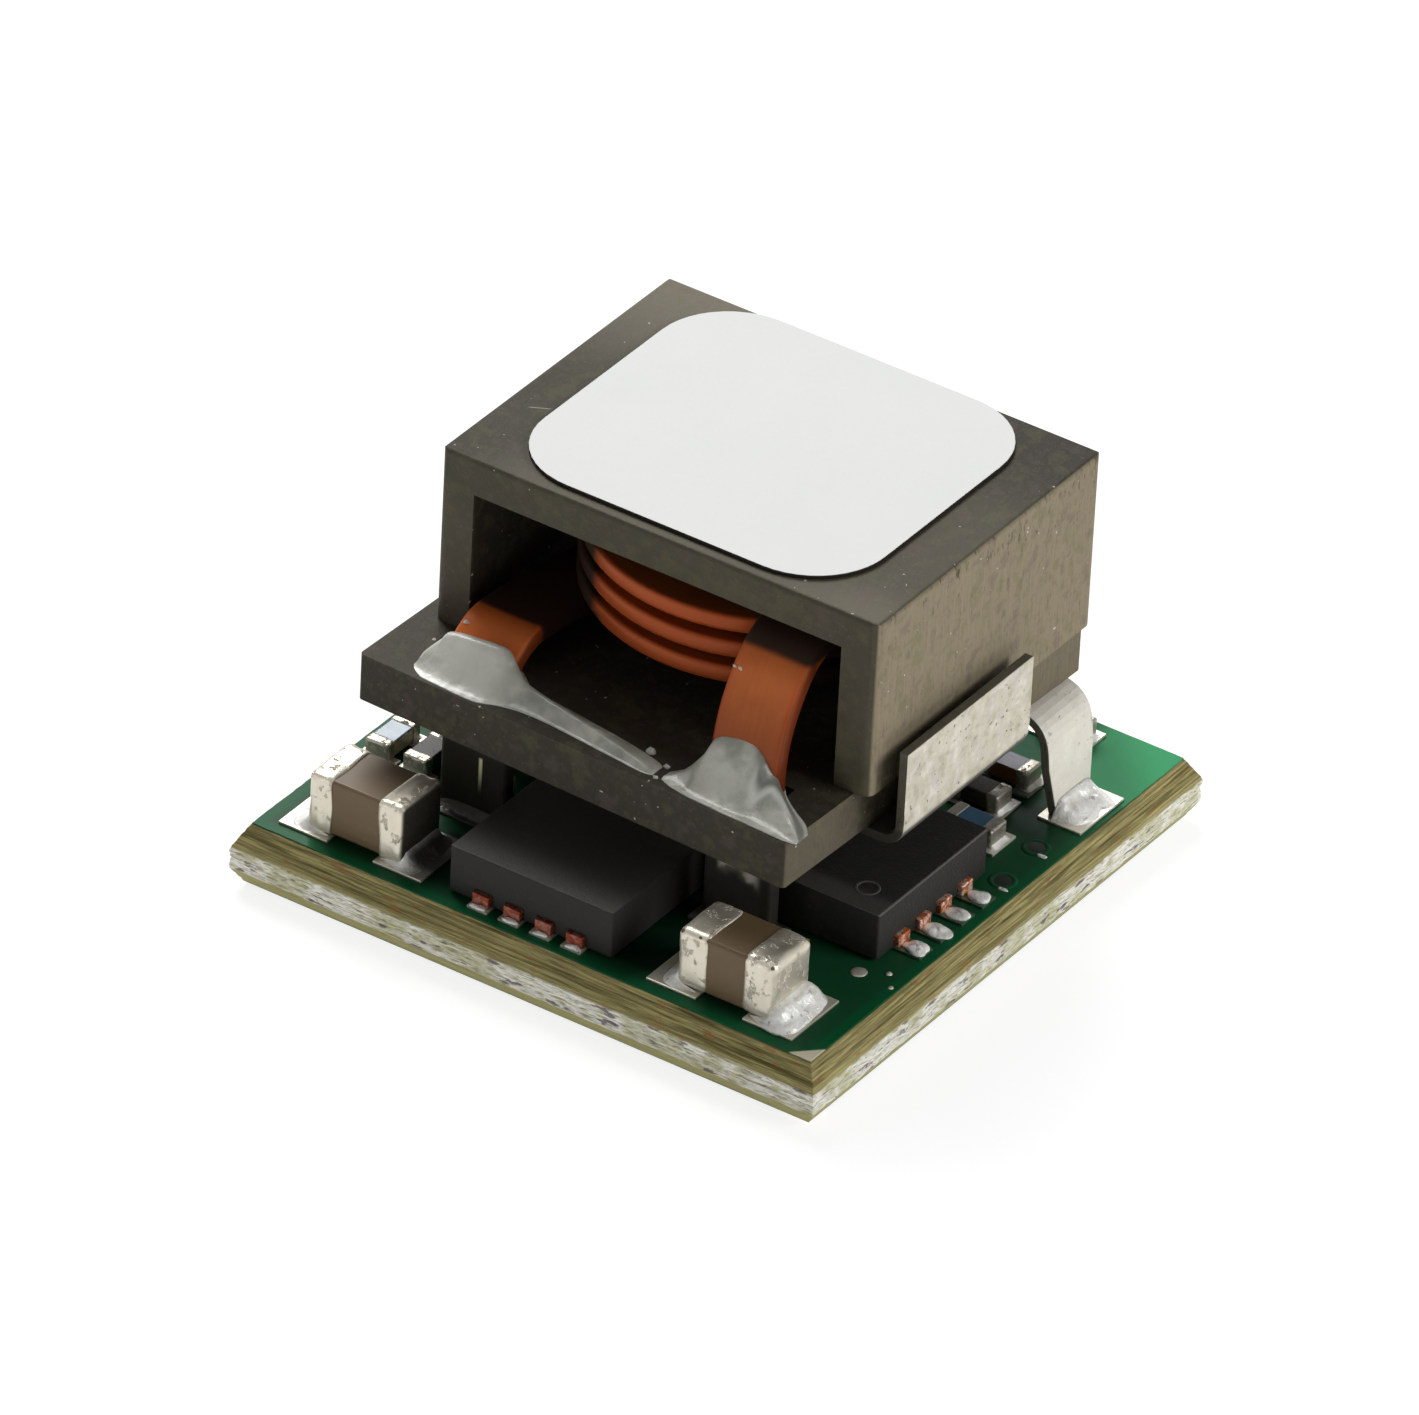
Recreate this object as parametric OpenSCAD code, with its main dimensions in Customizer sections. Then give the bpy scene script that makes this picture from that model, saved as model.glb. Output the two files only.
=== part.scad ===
// Open-frame step-down power module: a square board with chip parts and two power
// switches, and a tall ferrite inductor that stands over them on its own leads.
// The origin is in the middle of the underside, with +Z up and the winding facing -Y.

/* [Board] */
// Width of the board over its snapped edges
board_w = 12.2; // [12:0.1:14]
// Depth of the board over its snapped edges
board_d = 12.2; // [12:0.1:14]
// Thickness of the laminate
board_t = 1.2; // [1:0.05:1.6]
// How far the score cuts draw the top face in from the snapped edge
score_inset = 0.28; // [0.1:0.02:0.34]
// How far the score cuts draw the underside in from the snapped edge
under_inset = 0.2; // [0.1:0.02:0.34]
// Depth of the score cut in the top face
score_top = 0.5; // [0.3:0.02:0.6]
// Depth of the score cut in the underside
score_bottom = 0.31; // [0.2:0.01:0.45]

/* [Pads and lands] */
// Thickness of the tinned pads and lands
pad_t = 0.05; // [0.03:0.01:0.1]
// How far a pad reaches past the metal that stands on it
pad_rim = 0.12; // [0.05:0.01:0.16]
// Side of each square land on the underside
land_side = 1.3; // [0.8:0.1:1.6]
// Spacing of the lands
land_pitch = 2.3; // [1.8:0.1:2.4]
// Lands along each side of the grid
land_rows = 5; // [3:2:5]

/* [Ferrite core] */
// Width of the upper core across its window
core_w = 9.06; // [8.9:0.02:9.4]
// Depth of the upper core along its window
core_d = 6.94; // [6.7:0.02:7.2]
// Height of the upper core
core_h = 3.52; // [3.4:0.02:4.2]
// Thickness of the side walls of the upper core
core_wall = 0.73; // [0.5:0.01:0.8]
// Thickness of the roof of the upper core
core_roof = 0.7; // [0.5:0.01:0.8]
// Rounding of the upright corners of the upper core
core_corner_r = 0.2; // [0.1:0.02:0.5]
// Rounding of the long edges of the upper core
core_edge_r = 0.1; // [0.04:0.02:0.2]
// Diameter of the round centre post
post_d = 3.2; // [2.8:0.1:3.4]
// Air gap between the centre post and the lower plate
post_gap = 0.15; // [0.05:0.01:0.3]
// Distance of the core's middle behind the middle of the board
core_y = 1.08; // [0.8:0.02:1.1]
// Thickness of the lower plate
plate_t = 0.93; // [0.7:0.01:1.2]
// Depth of the shelf that the plate makes in front of the upper core
shelf_d = 1.84; // [1.7:0.02:2]
// Rounding of the upright corners of the lower plate
plate_corner_r = 0.08; // [0.04:0.02:0.3]
// How far the plate sits to the left of the upper core
plate_shift = 0.22; // [0:0.02:0.3]
// Angle by which the plate sits askew, with its front swung to the left
plate_turn = 1.9; // [0:0.1:2.5]
// Clear height between the board and the plate
plate_lift = 2.05; // [1.8:0.05:3]

/* [Winding] */
// Width of the flat wire
wire_w = 1.4; // [1.1:0.05:1.5]
// Thickness of the flat wire
wire_t = 0.35; // [0.25:0.01:0.4]
// Drop from one turn to the next
turn_pitch = 0.525; // [0.45:0.005:0.55]
// Whole turns, beside the half turn that sets the two leads apart
turns = 3; // [2:1:3]
// Gap between the centre post and the winding
post_clearance = 0.27; // [0.1:0.01:0.35]
// Gap between the top turn and the roof of the core
roof_clearance = 0.225; // [0.1:0.005:0.25]
// Distance of the upright leads in front of the upper core
lead_reach = 0.8; // [0.74:0.01:0.9]
// Length over which the upper lead leans out before it drops
upper_lean = 0.95; // [0.7:0.05:1]
// Length over which the lower lead leans out before it drops
lower_lean = 0.55; // [0.4:0.05:0.7]
// How far the lower lead drifts outwards on its way to the bend
lower_drift = 0.36; // [0.2:0.02:0.4]
// Gap around each lead in its slot in the plate
slot_clearance = 0.1; // [0.05:0.01:0.15]

/* [Glue and label] */
// Height of the glue where it climbs the leads
glue_h = 0.85; // [0.5:0.05:1]
// Gap between the glue and the lead that it holds
glue_gap = 0.01; // [0.01:0.01:0.03]
// Width of the pick-up label
label_w = 7.05; // [5:0.05:8]
// Depth of the pick-up label
label_d = 6.6; // [4:0.05:6.6]
// Corner radius of the pick-up label
label_r = 1.5; // [0.5:0.1:1.9]
// Thickness of the pick-up label
label_t = 0.08; // [0.05:0.01:0.15]
// Distance of the label from the back edge of the core
label_back = 0.09; // [0.02:0.01:0.1]
// How far the label sits to the left of the core's middle
label_shift = 0.06; // [0:0.02:0.4]

/* [Core clip] */
// Thickness of the tinned clip
clip_t = 0.18; // [0.1:0.01:0.25]
// Inner radius of the bends under the tabs, which clear the edge of the plate
clip_bend_r = 0.28; // [0.1:0.01:0.3]
// Smallest gap between the right tab and the upper core
tab_gap = 0.28; // [0.2:0.01:0.32]
// Gap between the plate and the start of the bend under a tab
plate_clearance = 0.02; // [0.01:0.01:0.05]
// Height of the tabs above the underside of the plate
tab_h = 1.78; // [1.2:0.02:2.4]
// Length of the right tab along the core
tab_l = 3.9; // [2:0.1:4.2]
// Distance of the right tab's front end behind the front of the upper core
tab_start = 0.44; // [0.3:0.02:0.6]
// Distance of the shorter left tab's front end behind the front of the upper core
left_tab_start = 1.3; // [1:0.02:1.6]
// Width of each leg at the core
leg_w = 1.4; // [1:0.02:1.5]
// Width of each leg at its foot
leg_foot_w = 1.05; // [0.6:0.05:1.05]
// How far the knee of each leg stands out past the inner face of the tab
leg_knee_out = 0.02; // [0:0.02:0.12]
// How far the foot of each leg stands out past the inner face of the tab
leg_foot_out = 0.22; // [0.1:0.02:0.3]
// Length over which the knee of each leg is rounded
leg_round = 0.6; // [0.3:0.02:0.8]
// Distance of the legs' pads from the side edges of the top face
leg_pad_edge = 0.1; // [0.06:0.01:0.14]
// Least length of a leg's pad in front of its leg, so that the solder has room
leg_pad_l = 0.3; // [0.2:0.01:0.32]
// Distance of the legs from the back of the upper core
leg_back = 0.48; // [0.3:0.02:0.6]

/* [Power switches] */
// Width of a switch along its row of leads
fet_w = 3.38; // [3.2:0.02:3.5]
// Depth of a switch across its row of leads
fet_d = 3.3; // [3.1:0.02:3.4]
// Height of a switch
fet_h = 0.92; // [0.7:0.02:1.1]
// Spacing of the leads of a switch
fet_pitch = 0.65; // [0.6:0.01:0.7]
// Width of each lead of a switch
fet_lead_w = 0.34; // [0.2:0.02:0.4]
// Width of the pad under each lead of a switch
fet_pad_w = 0.42; // [0.3:0.02:0.48]
// Length of each lead inside its package
fet_lead_l = 0.45; // [0.3:0.05:0.5]
// How far the leads stand out of their package
fet_lead_out = 0.1; // [0.02:0.01:0.12]
// Thickness of the lead frame
fet_lead_t = 0.22; // [0.15:0.01:0.25]
// Distance of the front switch to the left of the board's middle
fet_front_left = 0.24; // [0.1:0.02:0.3]
// Distance of the front switch from the front edge of the top face
fet_front_edge = 0.37; // [0.34:0.01:0.4]
// Distance of the side switch in front of the board's middle
fet_side_front = 1.02; // [0.96:0.02:1.1]
// Distance of the side switch from the right edge of the top face
fet_side_edge = 0.74; // [0.72:0.01:0.8]
// How far the front switch's pads reach past its leads
fet_front_pad_out = 0.1; // [0.05:0.01:0.2]
// How far the side switch's pads reach past its leads
fet_side_pad_out = 0.45; // [0.2:0.01:0.5]

/* [Controller] */
// Side of the square controller package
chip_side = 4; // [3:0.1:4.2]
// Height of the controller
chip_h = 0.85; // [0.7:0.05:1]
// Leads along each side of the controller
chip_leads = 6; // [4:1:7]
// Spacing of the controller's leads
chip_pitch = 0.5; // [0.4:0.05:0.5]
// Length of the controller's leads
chip_lead_l = 0.4; // [0.3:0.05:0.45]
// Distance of the controller to the left of the board's middle
chip_left = 1.9; // [1.8:0.05:2.1]
// Distance of the controller behind the board's middle
chip_back = 0.6; // [0.5:0.05:0.8]

/* [Capacitors] */
// Length of a capacitor
cap_l = 2; // [1.8:0.05:2.1]
// Width of a capacitor
cap_w = 1.22; // [1:0.02:1.3]
// Height of a capacitor
cap_h = 1.18; // [0.8:0.02:1.4]
// Length of the tinned cap on each end
cap_end = 0.52; // [0.3:0.01:0.55]
// Thickness of the tinned cap
cap_plating = 0.035; // [0.02:0.005:0.05]
// Rounding of a capacitor's edges
cap_edge_r = 0.11; // [0.06:0.01:0.16]
// How far a capacitor's pads reach past its ends
cap_pad_out = 0.5; // [0.3:0.02:0.52]
// Distance of the capacitors from the front and back edges of the top face
cap_edge = 0.39; // [0.34:0.01:0.42]
// Distance of the left capacitor from the left edge of the top face
cap_left_edge = 0.87; // [0.84:0.01:0.9]
// Distance of the front capacitor from the right edge of the top face
cap_right_edge = 1.08; // [1:0.02:1.1]
// Distance of the output capacitors from the left edge of the top face
output_edge = 1.7; // [1.6:0.02:1.8]
// Spacing of the output capacitors along the back edge
output_pitch = 3.3; // [3.2:0.02:3.5]

/* [Small chip parts] */
// Length of a small chip part
mini_l = 1; // [0.9:0.02:1.04]
// Width of a small chip part
mini_w = 0.5; // [0.4:0.02:0.56]
// Height of a small chip part
mini_h = 0.36; // [0.3:0.02:0.5]
// Length of the tinned end of a small chip part
mini_end = 0.24; // [0.15:0.01:0.28]
// Thickness of the tin on a small chip part
mini_plating = 0.02; // [0.01:0.005:0.03]
// Rounding of a small chip part's edges
mini_edge_r = 0.05; // [0.03:0.01:0.08]
// Distance of the right-hand small parts from the right edge of the top face
mini_edge = 1.06; // [1:0.02:1.1]
// How far the ones behind the first stand further in
mini_step = 0.5; // [0.4:0.02:0.6]
// Least gap between those and the pad of the right leg
mini_leg_gap = 0.3; // [0.2:0.02:0.5]
// Gap between the side switch and the first small part
mini_gap = 0.64; // [0.5:0.02:0.7]
// Spacing of the small chip parts on the right
mini_pitch = 0.93; // [0.9:0.01:1]
// Distance of the left-hand small parts from the left edge of the top face
mini_left_edge = 0.35; // [0.3:0.01:0.4]
// Gap between the left capacitor and the left-hand small parts
mini_left_gap = 1.25; // [1.1:0.05:1.4]
// Spacing of the left-hand small parts
mini_left_pitch = 0.8; // [0.7:0.02:0.86]

/* [Solder] */
// Height of a solder fillet as a share of the metal that it climbs
solder_climb = 0.4; // [0.2:0.05:0.6]
// How far a solder fillet spreads over its pad
solder_spread = 0.22; // [0.15:0.01:0.24]
// Height of the solder on the leads of the winding and the legs of the clip
lead_solder_h = 0.5; // [0.3:0.05:0.7]

/* [Hidden] */
$fn = 48;
// A hair past a face that a cut goes through
past = 0.1;

// Heights, from the underside up
board_z = pad_t;
board_top = board_z + board_t;
seat_z = board_top + pad_t;
plate_z = board_top + plate_lift;
plate_top = plate_z + plate_t;
core_top = plate_top + core_h;
window_top = core_top - core_roof;

// Half sizes of the board's faces
face_x = board_w / 2 - score_inset;
face_y = board_d / 2 - score_inset;

// Plan of the inductor
core_front = core_y - core_d / 2;
core_back = core_y + core_d / 2;
plate_w = core_w;
plate_d = core_d + shelf_d;
plate_x = -plate_shift;
plate_y = core_y - shelf_d / 2;
window_w = core_w - 2 * core_wall;
coil_r = post_d / 2 + post_clearance + wire_w / 2;
coil_top_z = window_top - roof_clearance - wire_t / 2;
coil_end_z = coil_top_z - turn_pitch * (turns + 0.5);
lead_y = core_front - lead_reach;
right_lead_x = coil_r;
left_lead_x = -coil_r - lower_drift;
// Sections along one turn of the winding
turn_steps = 30;
// Share of their rise above the plate at which the leads start to lean
knee_share = 0.4;
// Share of the lean that each of its two bends takes up
bend_share = 0.45;

// Clip, with the distances of its tabs' inner faces from the middle of the core
tab_y0 = core_front + tab_start;
left_tab_y0 = core_front + left_tab_start;
tab_y1 = tab_y0 + tab_l;
left_tab_x = plate_side(plate_shift, plate_y - left_tab_y0) + plate_clearance + clip_bend_r;
right_tab_x = max(core_w / 2 + tab_gap,
                  plate_side(-plate_shift, tab_y1 - plate_y) + plate_clearance + clip_bend_r);
clip_mid_z = plate_z - clip_t / 2;
leg_y1 = core_back - leg_back;
leg_y0 = leg_y1 - leg_w;
leg_y = (leg_y0 + leg_y1) / 2;
// Reach of a leg's pad from the middle of the foot towards the middle of the board
leg_pad_in = clip_t / 2 + pad_rim;

// Places of the parts on the board: x, y and turn
fet_front_place = [-fet_front_left, -face_y + fet_front_edge + fet_d / 2, 0];
fet_side_place = [face_x - fet_side_edge - fet_d / 2, -fet_side_front, 90];
chip_place = [-chip_left, chip_back, 0];
cap_front_y = -face_y + cap_edge + cap_w / 2;
cap_back_y = face_y - cap_edge - cap_w / 2;
cap_places = [
  [-face_x + cap_left_edge + cap_l / 2, cap_front_y, 0],
  [face_x - cap_right_edge - cap_l / 2, cap_front_y, 0],
  for (i = [0, 1]) [-face_x + output_edge + cap_l / 2 + i * output_pitch, cap_back_y, 0]
];
mini_right_x = face_x - mini_edge - mini_l / 2;
mini_inner_x = min(mini_right_x - mini_step, foot_x(1) - leg_pad_in - mini_leg_gap - mini_l / 2);
mini_right_y = fet_side_place[1] + (fet_w + mini_w) / 2 + mini_gap;
mini_left_x = -face_x + mini_left_edge + mini_w / 2;
mini_left_y = cap_front_y + (cap_w + mini_l) / 2 + mini_left_gap;
mini_back_y = face_y - cap_edge - mini_w / 2;
mini_places = [
  [mini_right_x, mini_right_y, 0],
  [mini_inner_x, mini_right_y + 2 * mini_pitch, 0],
  [mini_left_x, mini_left_y, 90],
  [mini_inner_x, mini_right_y + mini_pitch, 0],
  [mini_inner_x, mini_back_y, 0],
  [mini_left_x + mini_left_pitch, mini_left_y, 90]
];

// Distance of the skewed plate's side from x = 0, a way along it from the middle of the plate
function plate_side(shift, along) = shift + plate_w / 2 / cos(plate_turn) + along * tan(plate_turn);

// Place of the skewed plate's front edge at x
function plate_front(x) =
  plate_y - plate_d / 2 / cos(plate_turn) - (x - plate_x) * tan(plate_turn);

function tab_x(side) = side < 0 ? left_tab_x : right_tab_x;

// Distance of a leg's foot from x = 0: out past the tab, or as far in as its pad needs on the board
function foot_x(side) =
  min(tab_x(side) + leg_foot_out, face_x - leg_pad_edge - leg_pad_l - clip_t / 2);

function lerp(a, b, t) = a + (b - a) * t;
function unit(v) = v / norm(v);
function reversed(list) = [for (i = [len(list) - 1:-1:0]) list[i]];

// Point at share t of a smooth curve through b and c, with a before and d after them
function through(a, b, c, d, t) =
  0.5 * (2 * b + (c - a) * t + (2 * a - 5 * b + 4 * c - d) * t * t
         + (3 * b - a - 3 * c + d) * t * t * t);

// A list of rows made finer by smooth curves through its columns
function smooth_rows(rows, steps) =
  let (last = len(rows) - 1)
  [for (i = [0:last - 1], k = [0:steps - 1])
     through(rows[max(i - 1, 0)], rows[i], rows[i + 1], rows[min(i + 2, last)], k / steps),
   rows[last]];

// A corner at p between a and b, rounded over the length reach on both sides
function round_corner(a, p, b, reach, steps = 8) =
  let (from = p + reach * unit(a - p), to = p + reach * unit(b - p))
  [for (k = [0:steps]) let (t = k / steps) lerp(lerp(from, p, t), lerp(p, to, t), t)];

function arc_points(center, r, from, to, steps = 10) =
  [for (k = [0:steps]) let (a = lerp(from, to, k / steps)) center + r * [cos(a), sin(a)]];

// Direction across a flat path at its point i
function across(path, i) =
  let (d = path[min(i + 1, len(path) - 1)] - path[max(i - 1, 0)])
  unit([-d[1], d[0]]);

// Outline of a strip of even thickness that follows a flat path
function strip_outline(path, thickness) =
  let (n = len(path) - 1)
  concat([for (i = [0:n]) path[i] + thickness / 2 * across(path, i)],
         [for (i = [n:-1:0]) path[i] - thickness / 2 * across(path, i)]);

// A path to the left, given as its mirror image, and a path to the right, joined where x is 0
function both_sides(left, right) =
  concat(reversed([for (p = left) [-p[0], p[1]]]), [for (i = [1:len(right) - 1]) right[i]]);

// Closed skin over rings of points that all have the same count
module skin(rings) {
  count = len(rings);
  size = len(rings[0]);
  walls = [for (i = [0:count - 2], j = [0:size - 1])
             let (k = (j + 1) % size, a = i * size, b = a + size)
             each [[a + j, a + k, b + k], [a + j, b + k, b + j]]];
  first = [for (j = [size - 1:-1:0]) j];
  last = [for (j = [0:size - 1]) (count - 1) * size + j];
  polyhedron([for (ring = rings) each ring], concat([first, last], walls));
}

module at_place(place) {
  translate([place[0], place[1], seat_z]) rotate(place[2]) children();
}

module rounded_rect(w, d, r) {
  square([w - 2 * r, d], center = true);
  square([w, d - 2 * r], center = true);
  for (x = [-1, 1], y = [-1, 1])
    translate([x * (w / 2 - r), y * (d / 2 - r)]) circle(r);
}

// Box that stands on z = 0 with all its edges rounded
module soft_box(w, d, h, r) {
  intersection() {
    linear_extrude(h) rounded_rect(w, d, r);
    translate([0, d / 2, h / 2]) rotate([90, 0, 0]) linear_extrude(d) rounded_rect(w, h, r);
    translate([-w / 2, 0, h / 2]) rotate([90, 0, 90]) linear_extrude(w) rounded_rect(d, h, r);
  }
}

module slab(x0, x1, y0, y1, z0, z1) {
  translate([x0, y0, z0]) cube([x1 - x0, y1 - y0, z1 - z0]);
}

// Section through the board's scored and snapped edges
module board_section(span, length) {
  half = span / 2;
  face = half - score_inset;
  under = half - under_inset;
  translate([0, length / 2, 0]) rotate([90, 0, 0]) linear_extrude(length)
    polygon([[-under, board_z], [under, board_z],
             [half, board_z + score_bottom], [half, board_top - score_top],
             [face, board_top], [-face, board_top],
             [-half, board_top - score_top], [-half, board_z + score_bottom]]);
}

module board() {
  color("darkgreen") intersection() {
    board_section(board_w, board_d);
    rotate(90) board_section(board_d, board_w);
  }
}

module bottom_lands() {
  middle = (land_rows - 1) / 2;
  color("gainsboro") for (i = [0:land_rows - 1], j = [0:land_rows - 1])
    translate([(i - middle) * land_pitch, (j - middle) * land_pitch, pad_t / 2])
      cube([land_side, land_side, pad_t], center = true);
}

// Pad under a metal foot from x0 to x1 and y0 to y1, in the part's own place
module pad(x0, x1, y0, y1) {
  slab(x0, x1, y0, y1, -pad_t, 0);
}

module end_pads(length, width, end, out) {
  for (side = [0, 1]) mirror([side, 0, 0])
    pad(length / 2 - end, length / 2 + out, -width / 2 - pad_rim, width / 2 + pad_rim);
}

// Hollow wedge of solder that climbs a face at x = 0 and spreads over a pad towards +X
// A face that leans goes lean millimetres towards +X for each one that it climbs
module fillet(width, climb, spread, lean = 0, steps = 6) {
  translate([0, width / 2, 0]) rotate([90, 0, 0]) linear_extrude(width)
    polygon(concat([[0, 0]],
                   [for (k = [0:steps])
                      let (a = lerp(270, 180, k / steps), z = climb * (1 + sin(a)))
                      [spread * (1 + cos(a)) + lean * z, z]]));
}

module end_fillets(length, width, height, out) {
  for (side = [0, 1]) mirror([side, 0, 0]) translate([length / 2, 0, 0])
    fillet(width, height * solder_climb, min(solder_spread, out));
}

module lead_foot(x) {
  translate([x, lead_y, seat_z]) children();
}

module leg_foot(side) {
  mirror([side < 0 ? 1 : 0, 0, 0])
    translate([foot_x(side), leg_y, seat_z]) children();
}

// Length of a leg's pad in front of the leg
function leg_pad_out(side) = face_x - leg_pad_edge - foot_x(side) - clip_t / 2;

// Way that a leg leans outwards for each millimetre that it climbs from its foot
function leg_lean(side) = (tab_x(side) + leg_knee_out - foot_x(side)) / (clip_mid_z - seat_z);

// Half the thickness of a leg, measured flat over the pad
function leg_half(side) = clip_t / 2 * norm([1, leg_lean(side)]);

module top_pads() {
  color("gainsboro") {
    for (place = cap_places) at_place(place) end_pads(cap_l, cap_w, cap_end, cap_pad_out);
    for (place = mini_places) at_place(place) end_pads(mini_l, mini_w, mini_end, pad_rim);
    at_place(fet_front_place) fet_pads(fet_front_pad_out);
    at_place(fet_side_place) fet_pads(fet_side_pad_out);
    at_place(chip_place) controller_pads();
    for (x = [left_lead_x, right_lead_x]) lead_foot(x)
      pad(-wire_w / 2 - pad_rim, wire_w / 2 + pad_rim,
          -wire_t / 2 - solder_spread, wire_t / 2 + solder_spread);
    for (side = [-1, 1]) leg_foot(side)
      pad(-leg_pad_in, clip_t / 2 + leg_pad_out(side), -leg_w / 2, leg_w / 2);
  }
}

module solder_joints() {
  color("silver") {
    for (place = cap_places) at_place(place) end_fillets(cap_l, cap_w, cap_h, cap_pad_out);
    for (place = mini_places) at_place(place) end_fillets(mini_l, mini_w, mini_h, pad_rim);
    for (x = [left_lead_x, right_lead_x], turn = [-90, 90]) lead_foot(x)
      rotate(turn) translate([wire_t / 2, 0, 0]) fillet(wire_w, lead_solder_h, solder_spread);
    for (side = [-1, 1]) leg_foot(side) translate([leg_half(side), 0, 0])
      fillet(leg_foot_w, lead_solder_h, leg_pad_out(side) - pad_rim, leg_lean(side));
  }
}

module upper_core() {
  color("dimgray") difference() {
    translate([0, core_y, plate_top]) intersection() {
      linear_extrude(core_h) rounded_rect(core_w, core_d, core_corner_r);
      core_sleeve(core_w, core_d);
      rotate(90) core_sleeve(core_d, core_w);
    }
    difference() {
      slab(-window_w / 2, window_w / 2, core_front - past, core_back + past,
           plate_top - past, window_top);
      translate([0, core_y, plate_top + post_gap]) cylinder(h = core_h, d = post_d);
    }
  }
}

// Tunnel shape along Y with rounded long edges on top
module core_sleeve(w, length) {
  translate([0, length / 2, core_h / 2 - core_edge_r]) rotate([90, 0, 0])
    linear_extrude(length) rounded_rect(w, core_h + 2 * core_edge_r, core_edge_r);
}

module lower_core() {
  color("dimgray") difference() {
    translate([plate_x, plate_y, plate_z]) rotate(-plate_turn)
      linear_extrude(plate_t) rounded_rect(plate_w, plate_d, plate_corner_r);
    for (x = [left_lead_x, right_lead_x]) lead_slot(x);
  }
}

// Slot in the plate, around the upright stretch of a lead
module lead_slot(x) {
  w = wire_w / 2 + slot_clearance;
  d = wire_t / 2 + slot_clearance;
  slab(x - w, x + w, lead_y - d, lead_y + d, plate_z - past, plate_top + past);
}

// Section of the flat wire at a point of its path: wide axis, path direction and a gap around it
function wire_ring(point, wide, ahead, gap = 0) =
  let (thin = unit(cross(wide, ahead)), w = wire_w / 2 + gap, t = wire_t / 2 + gap, cut = wire_t / 4)
  [for (p = [[w, -t + cut], [w, t - cut], [w - cut, t], [-w + cut, t],
             [-w, t - cut], [-w, -t + cut], [-w + cut, -t], [w - cut, -t]])
     point + p[0] * wide + p[1] * thin];

// Path of a lead in its own Y-Z plane, from its foot up to where its flat run to the winding starts
function lead_path(top_z, lean) =
  let (foot = [lead_y, seat_z],
       knee = [lead_y, lerp(plate_top, top_z, knee_share)],
       bend = [lead_y + lean, top_z],
       end = [core_y, top_z],
       reach = bend_share * norm(bend - knee))
  concat([foot], round_corner(foot, knee, bend, min(reach, knee[1] - plate_top)),
         round_corner(knee, bend, end, reach));

// Rings along a lead from its foot up
function lead_rings(lead_x, side, path, gap) =
  [for (i = [0:len(path) - 1])
     let (p = path[i], d = path[min(i + 1, len(path) - 1)] - path[max(i - 1, 0)])
     wire_ring([lead_x, p[0], p[1]], [side, 0, 0], side * unit([0, d[0], d[1]]), gap)];

function upper_lead(gap = 0) =
  lead_rings(right_lead_x, 1, lead_path(coil_top_z, upper_lean), gap);

function lower_lead(gap = 0) =
  lead_rings(left_lead_x, -1, lead_path(coil_end_z, lower_lean), gap);

module winding() {
  sweep_angle = 360 * (turns + 0.5);
  steps = turn_steps * (turns + 0.5);
  helix = [for (i = [0:steps])
             let (a = sweep_angle * i / steps, radial = [cos(a), sin(a), 0])
             wire_ring([0, core_y, lerp(coil_top_z, coil_end_z, i / steps)] + coil_r * radial,
                       radial, [-sin(a), cos(a), 0])];
  color("chocolate") skin(concat(upper_lead(), helix, reversed(lower_lead())));
}

// Section of a glue mound: a bell on the plate, from its front edge over its crest to its back
// row = way from the lead in widths of the wire, front, crest and back as shares of the shelf, and
// share of the height
function glue_ring(lead_x, row, points = 7) =
  let (x = lead_x + row[0] * wire_w,
       to_edge = lead_y - plate_front(x),
       front = lead_y - row[1] * to_edge,
       crest = lead_y - row[2] * to_edge,
       back = lead_y + row[3] * lead_reach)
  concat([for (k = [0:points]) let (s = k / points)
            [x, lerp(front, crest, s), plate_top + glue_h * row[4] * (1 - cos(180 * s)) / 2]],
         [for (k = [1:points]) let (s = k / points)
            [x, lerp(crest, back, s), plate_top + glue_h * row[4] * (1 + cos(180 * s)) / 2]]);

// Glue that climbs the front and the sides of a lead, with nothing behind the lead
module glue_mound(lead_x, rows, lead) {
  w = wire_w / 2 + glue_gap;
  color("darkgray") difference() {
    skin([for (row = smooth_rows(rows, 4)) glue_ring(lead_x, row)]);
    skin(lead);
    slab(lead_x - w, lead_x + w, lead_y, core_front, plate_top - past, core_top);
  }
}

module glue_left() {
  glue_mound(left_lead_x,
    [[-0.79, 0.55, 0.5, -0.5, 0.03], [-0.54, 0.93, 0.15, 0.35, 0.6], [0, 0.96, 0, 0.75, 0.8],
     [0.5, 0.84, 0, 0.6, 0.68], [0.9, 0.62, 0.2, 0.05, 0.3], [1.7, 0.7, 0.45, -0.2, 0.22],
     [2.36, 0.76, 0.6, -0.45, 0.15], [2.86, 0.78, 0.75, -0.85, 0.03]],
    reversed(lower_lead(glue_gap)));
}

module glue_right() {
  glue_mound(right_lead_x,
    [[-0.82, 0.75, 0.7, -0.75, 0.03], [-0.57, 0.9, 0.25, 0.2, 0.6], [0, 0.96, 0, 0.6, 1],
     [0.5, 0.97, 0.05, 0.6, 0.9], [0.82, 0.97, 0.4, 0.2, 0.45], [1.1, 0.96, 0.7, -0.4, 0.18],
     [1.25, 0.9, 0.85, -0.95, 0.03]],
    upper_lead(glue_gap));
}

module pickup_label() {
  color("whitesmoke") translate([-label_shift, core_back - label_back - label_d / 2, core_top])
    linear_extrude(label_t) rounded_rect(label_w, label_d, label_r);
}

// Half of the clip where it turns up beside the core
function tab_path(side) =
  let (r = clip_bend_r + clip_t / 2, x = tab_x(side) + clip_t / 2)
  concat([[0, clip_mid_z]], arc_points([x - r, clip_mid_z + r], r, 270, 360),
         [[x, plate_z + tab_h]]);

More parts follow.
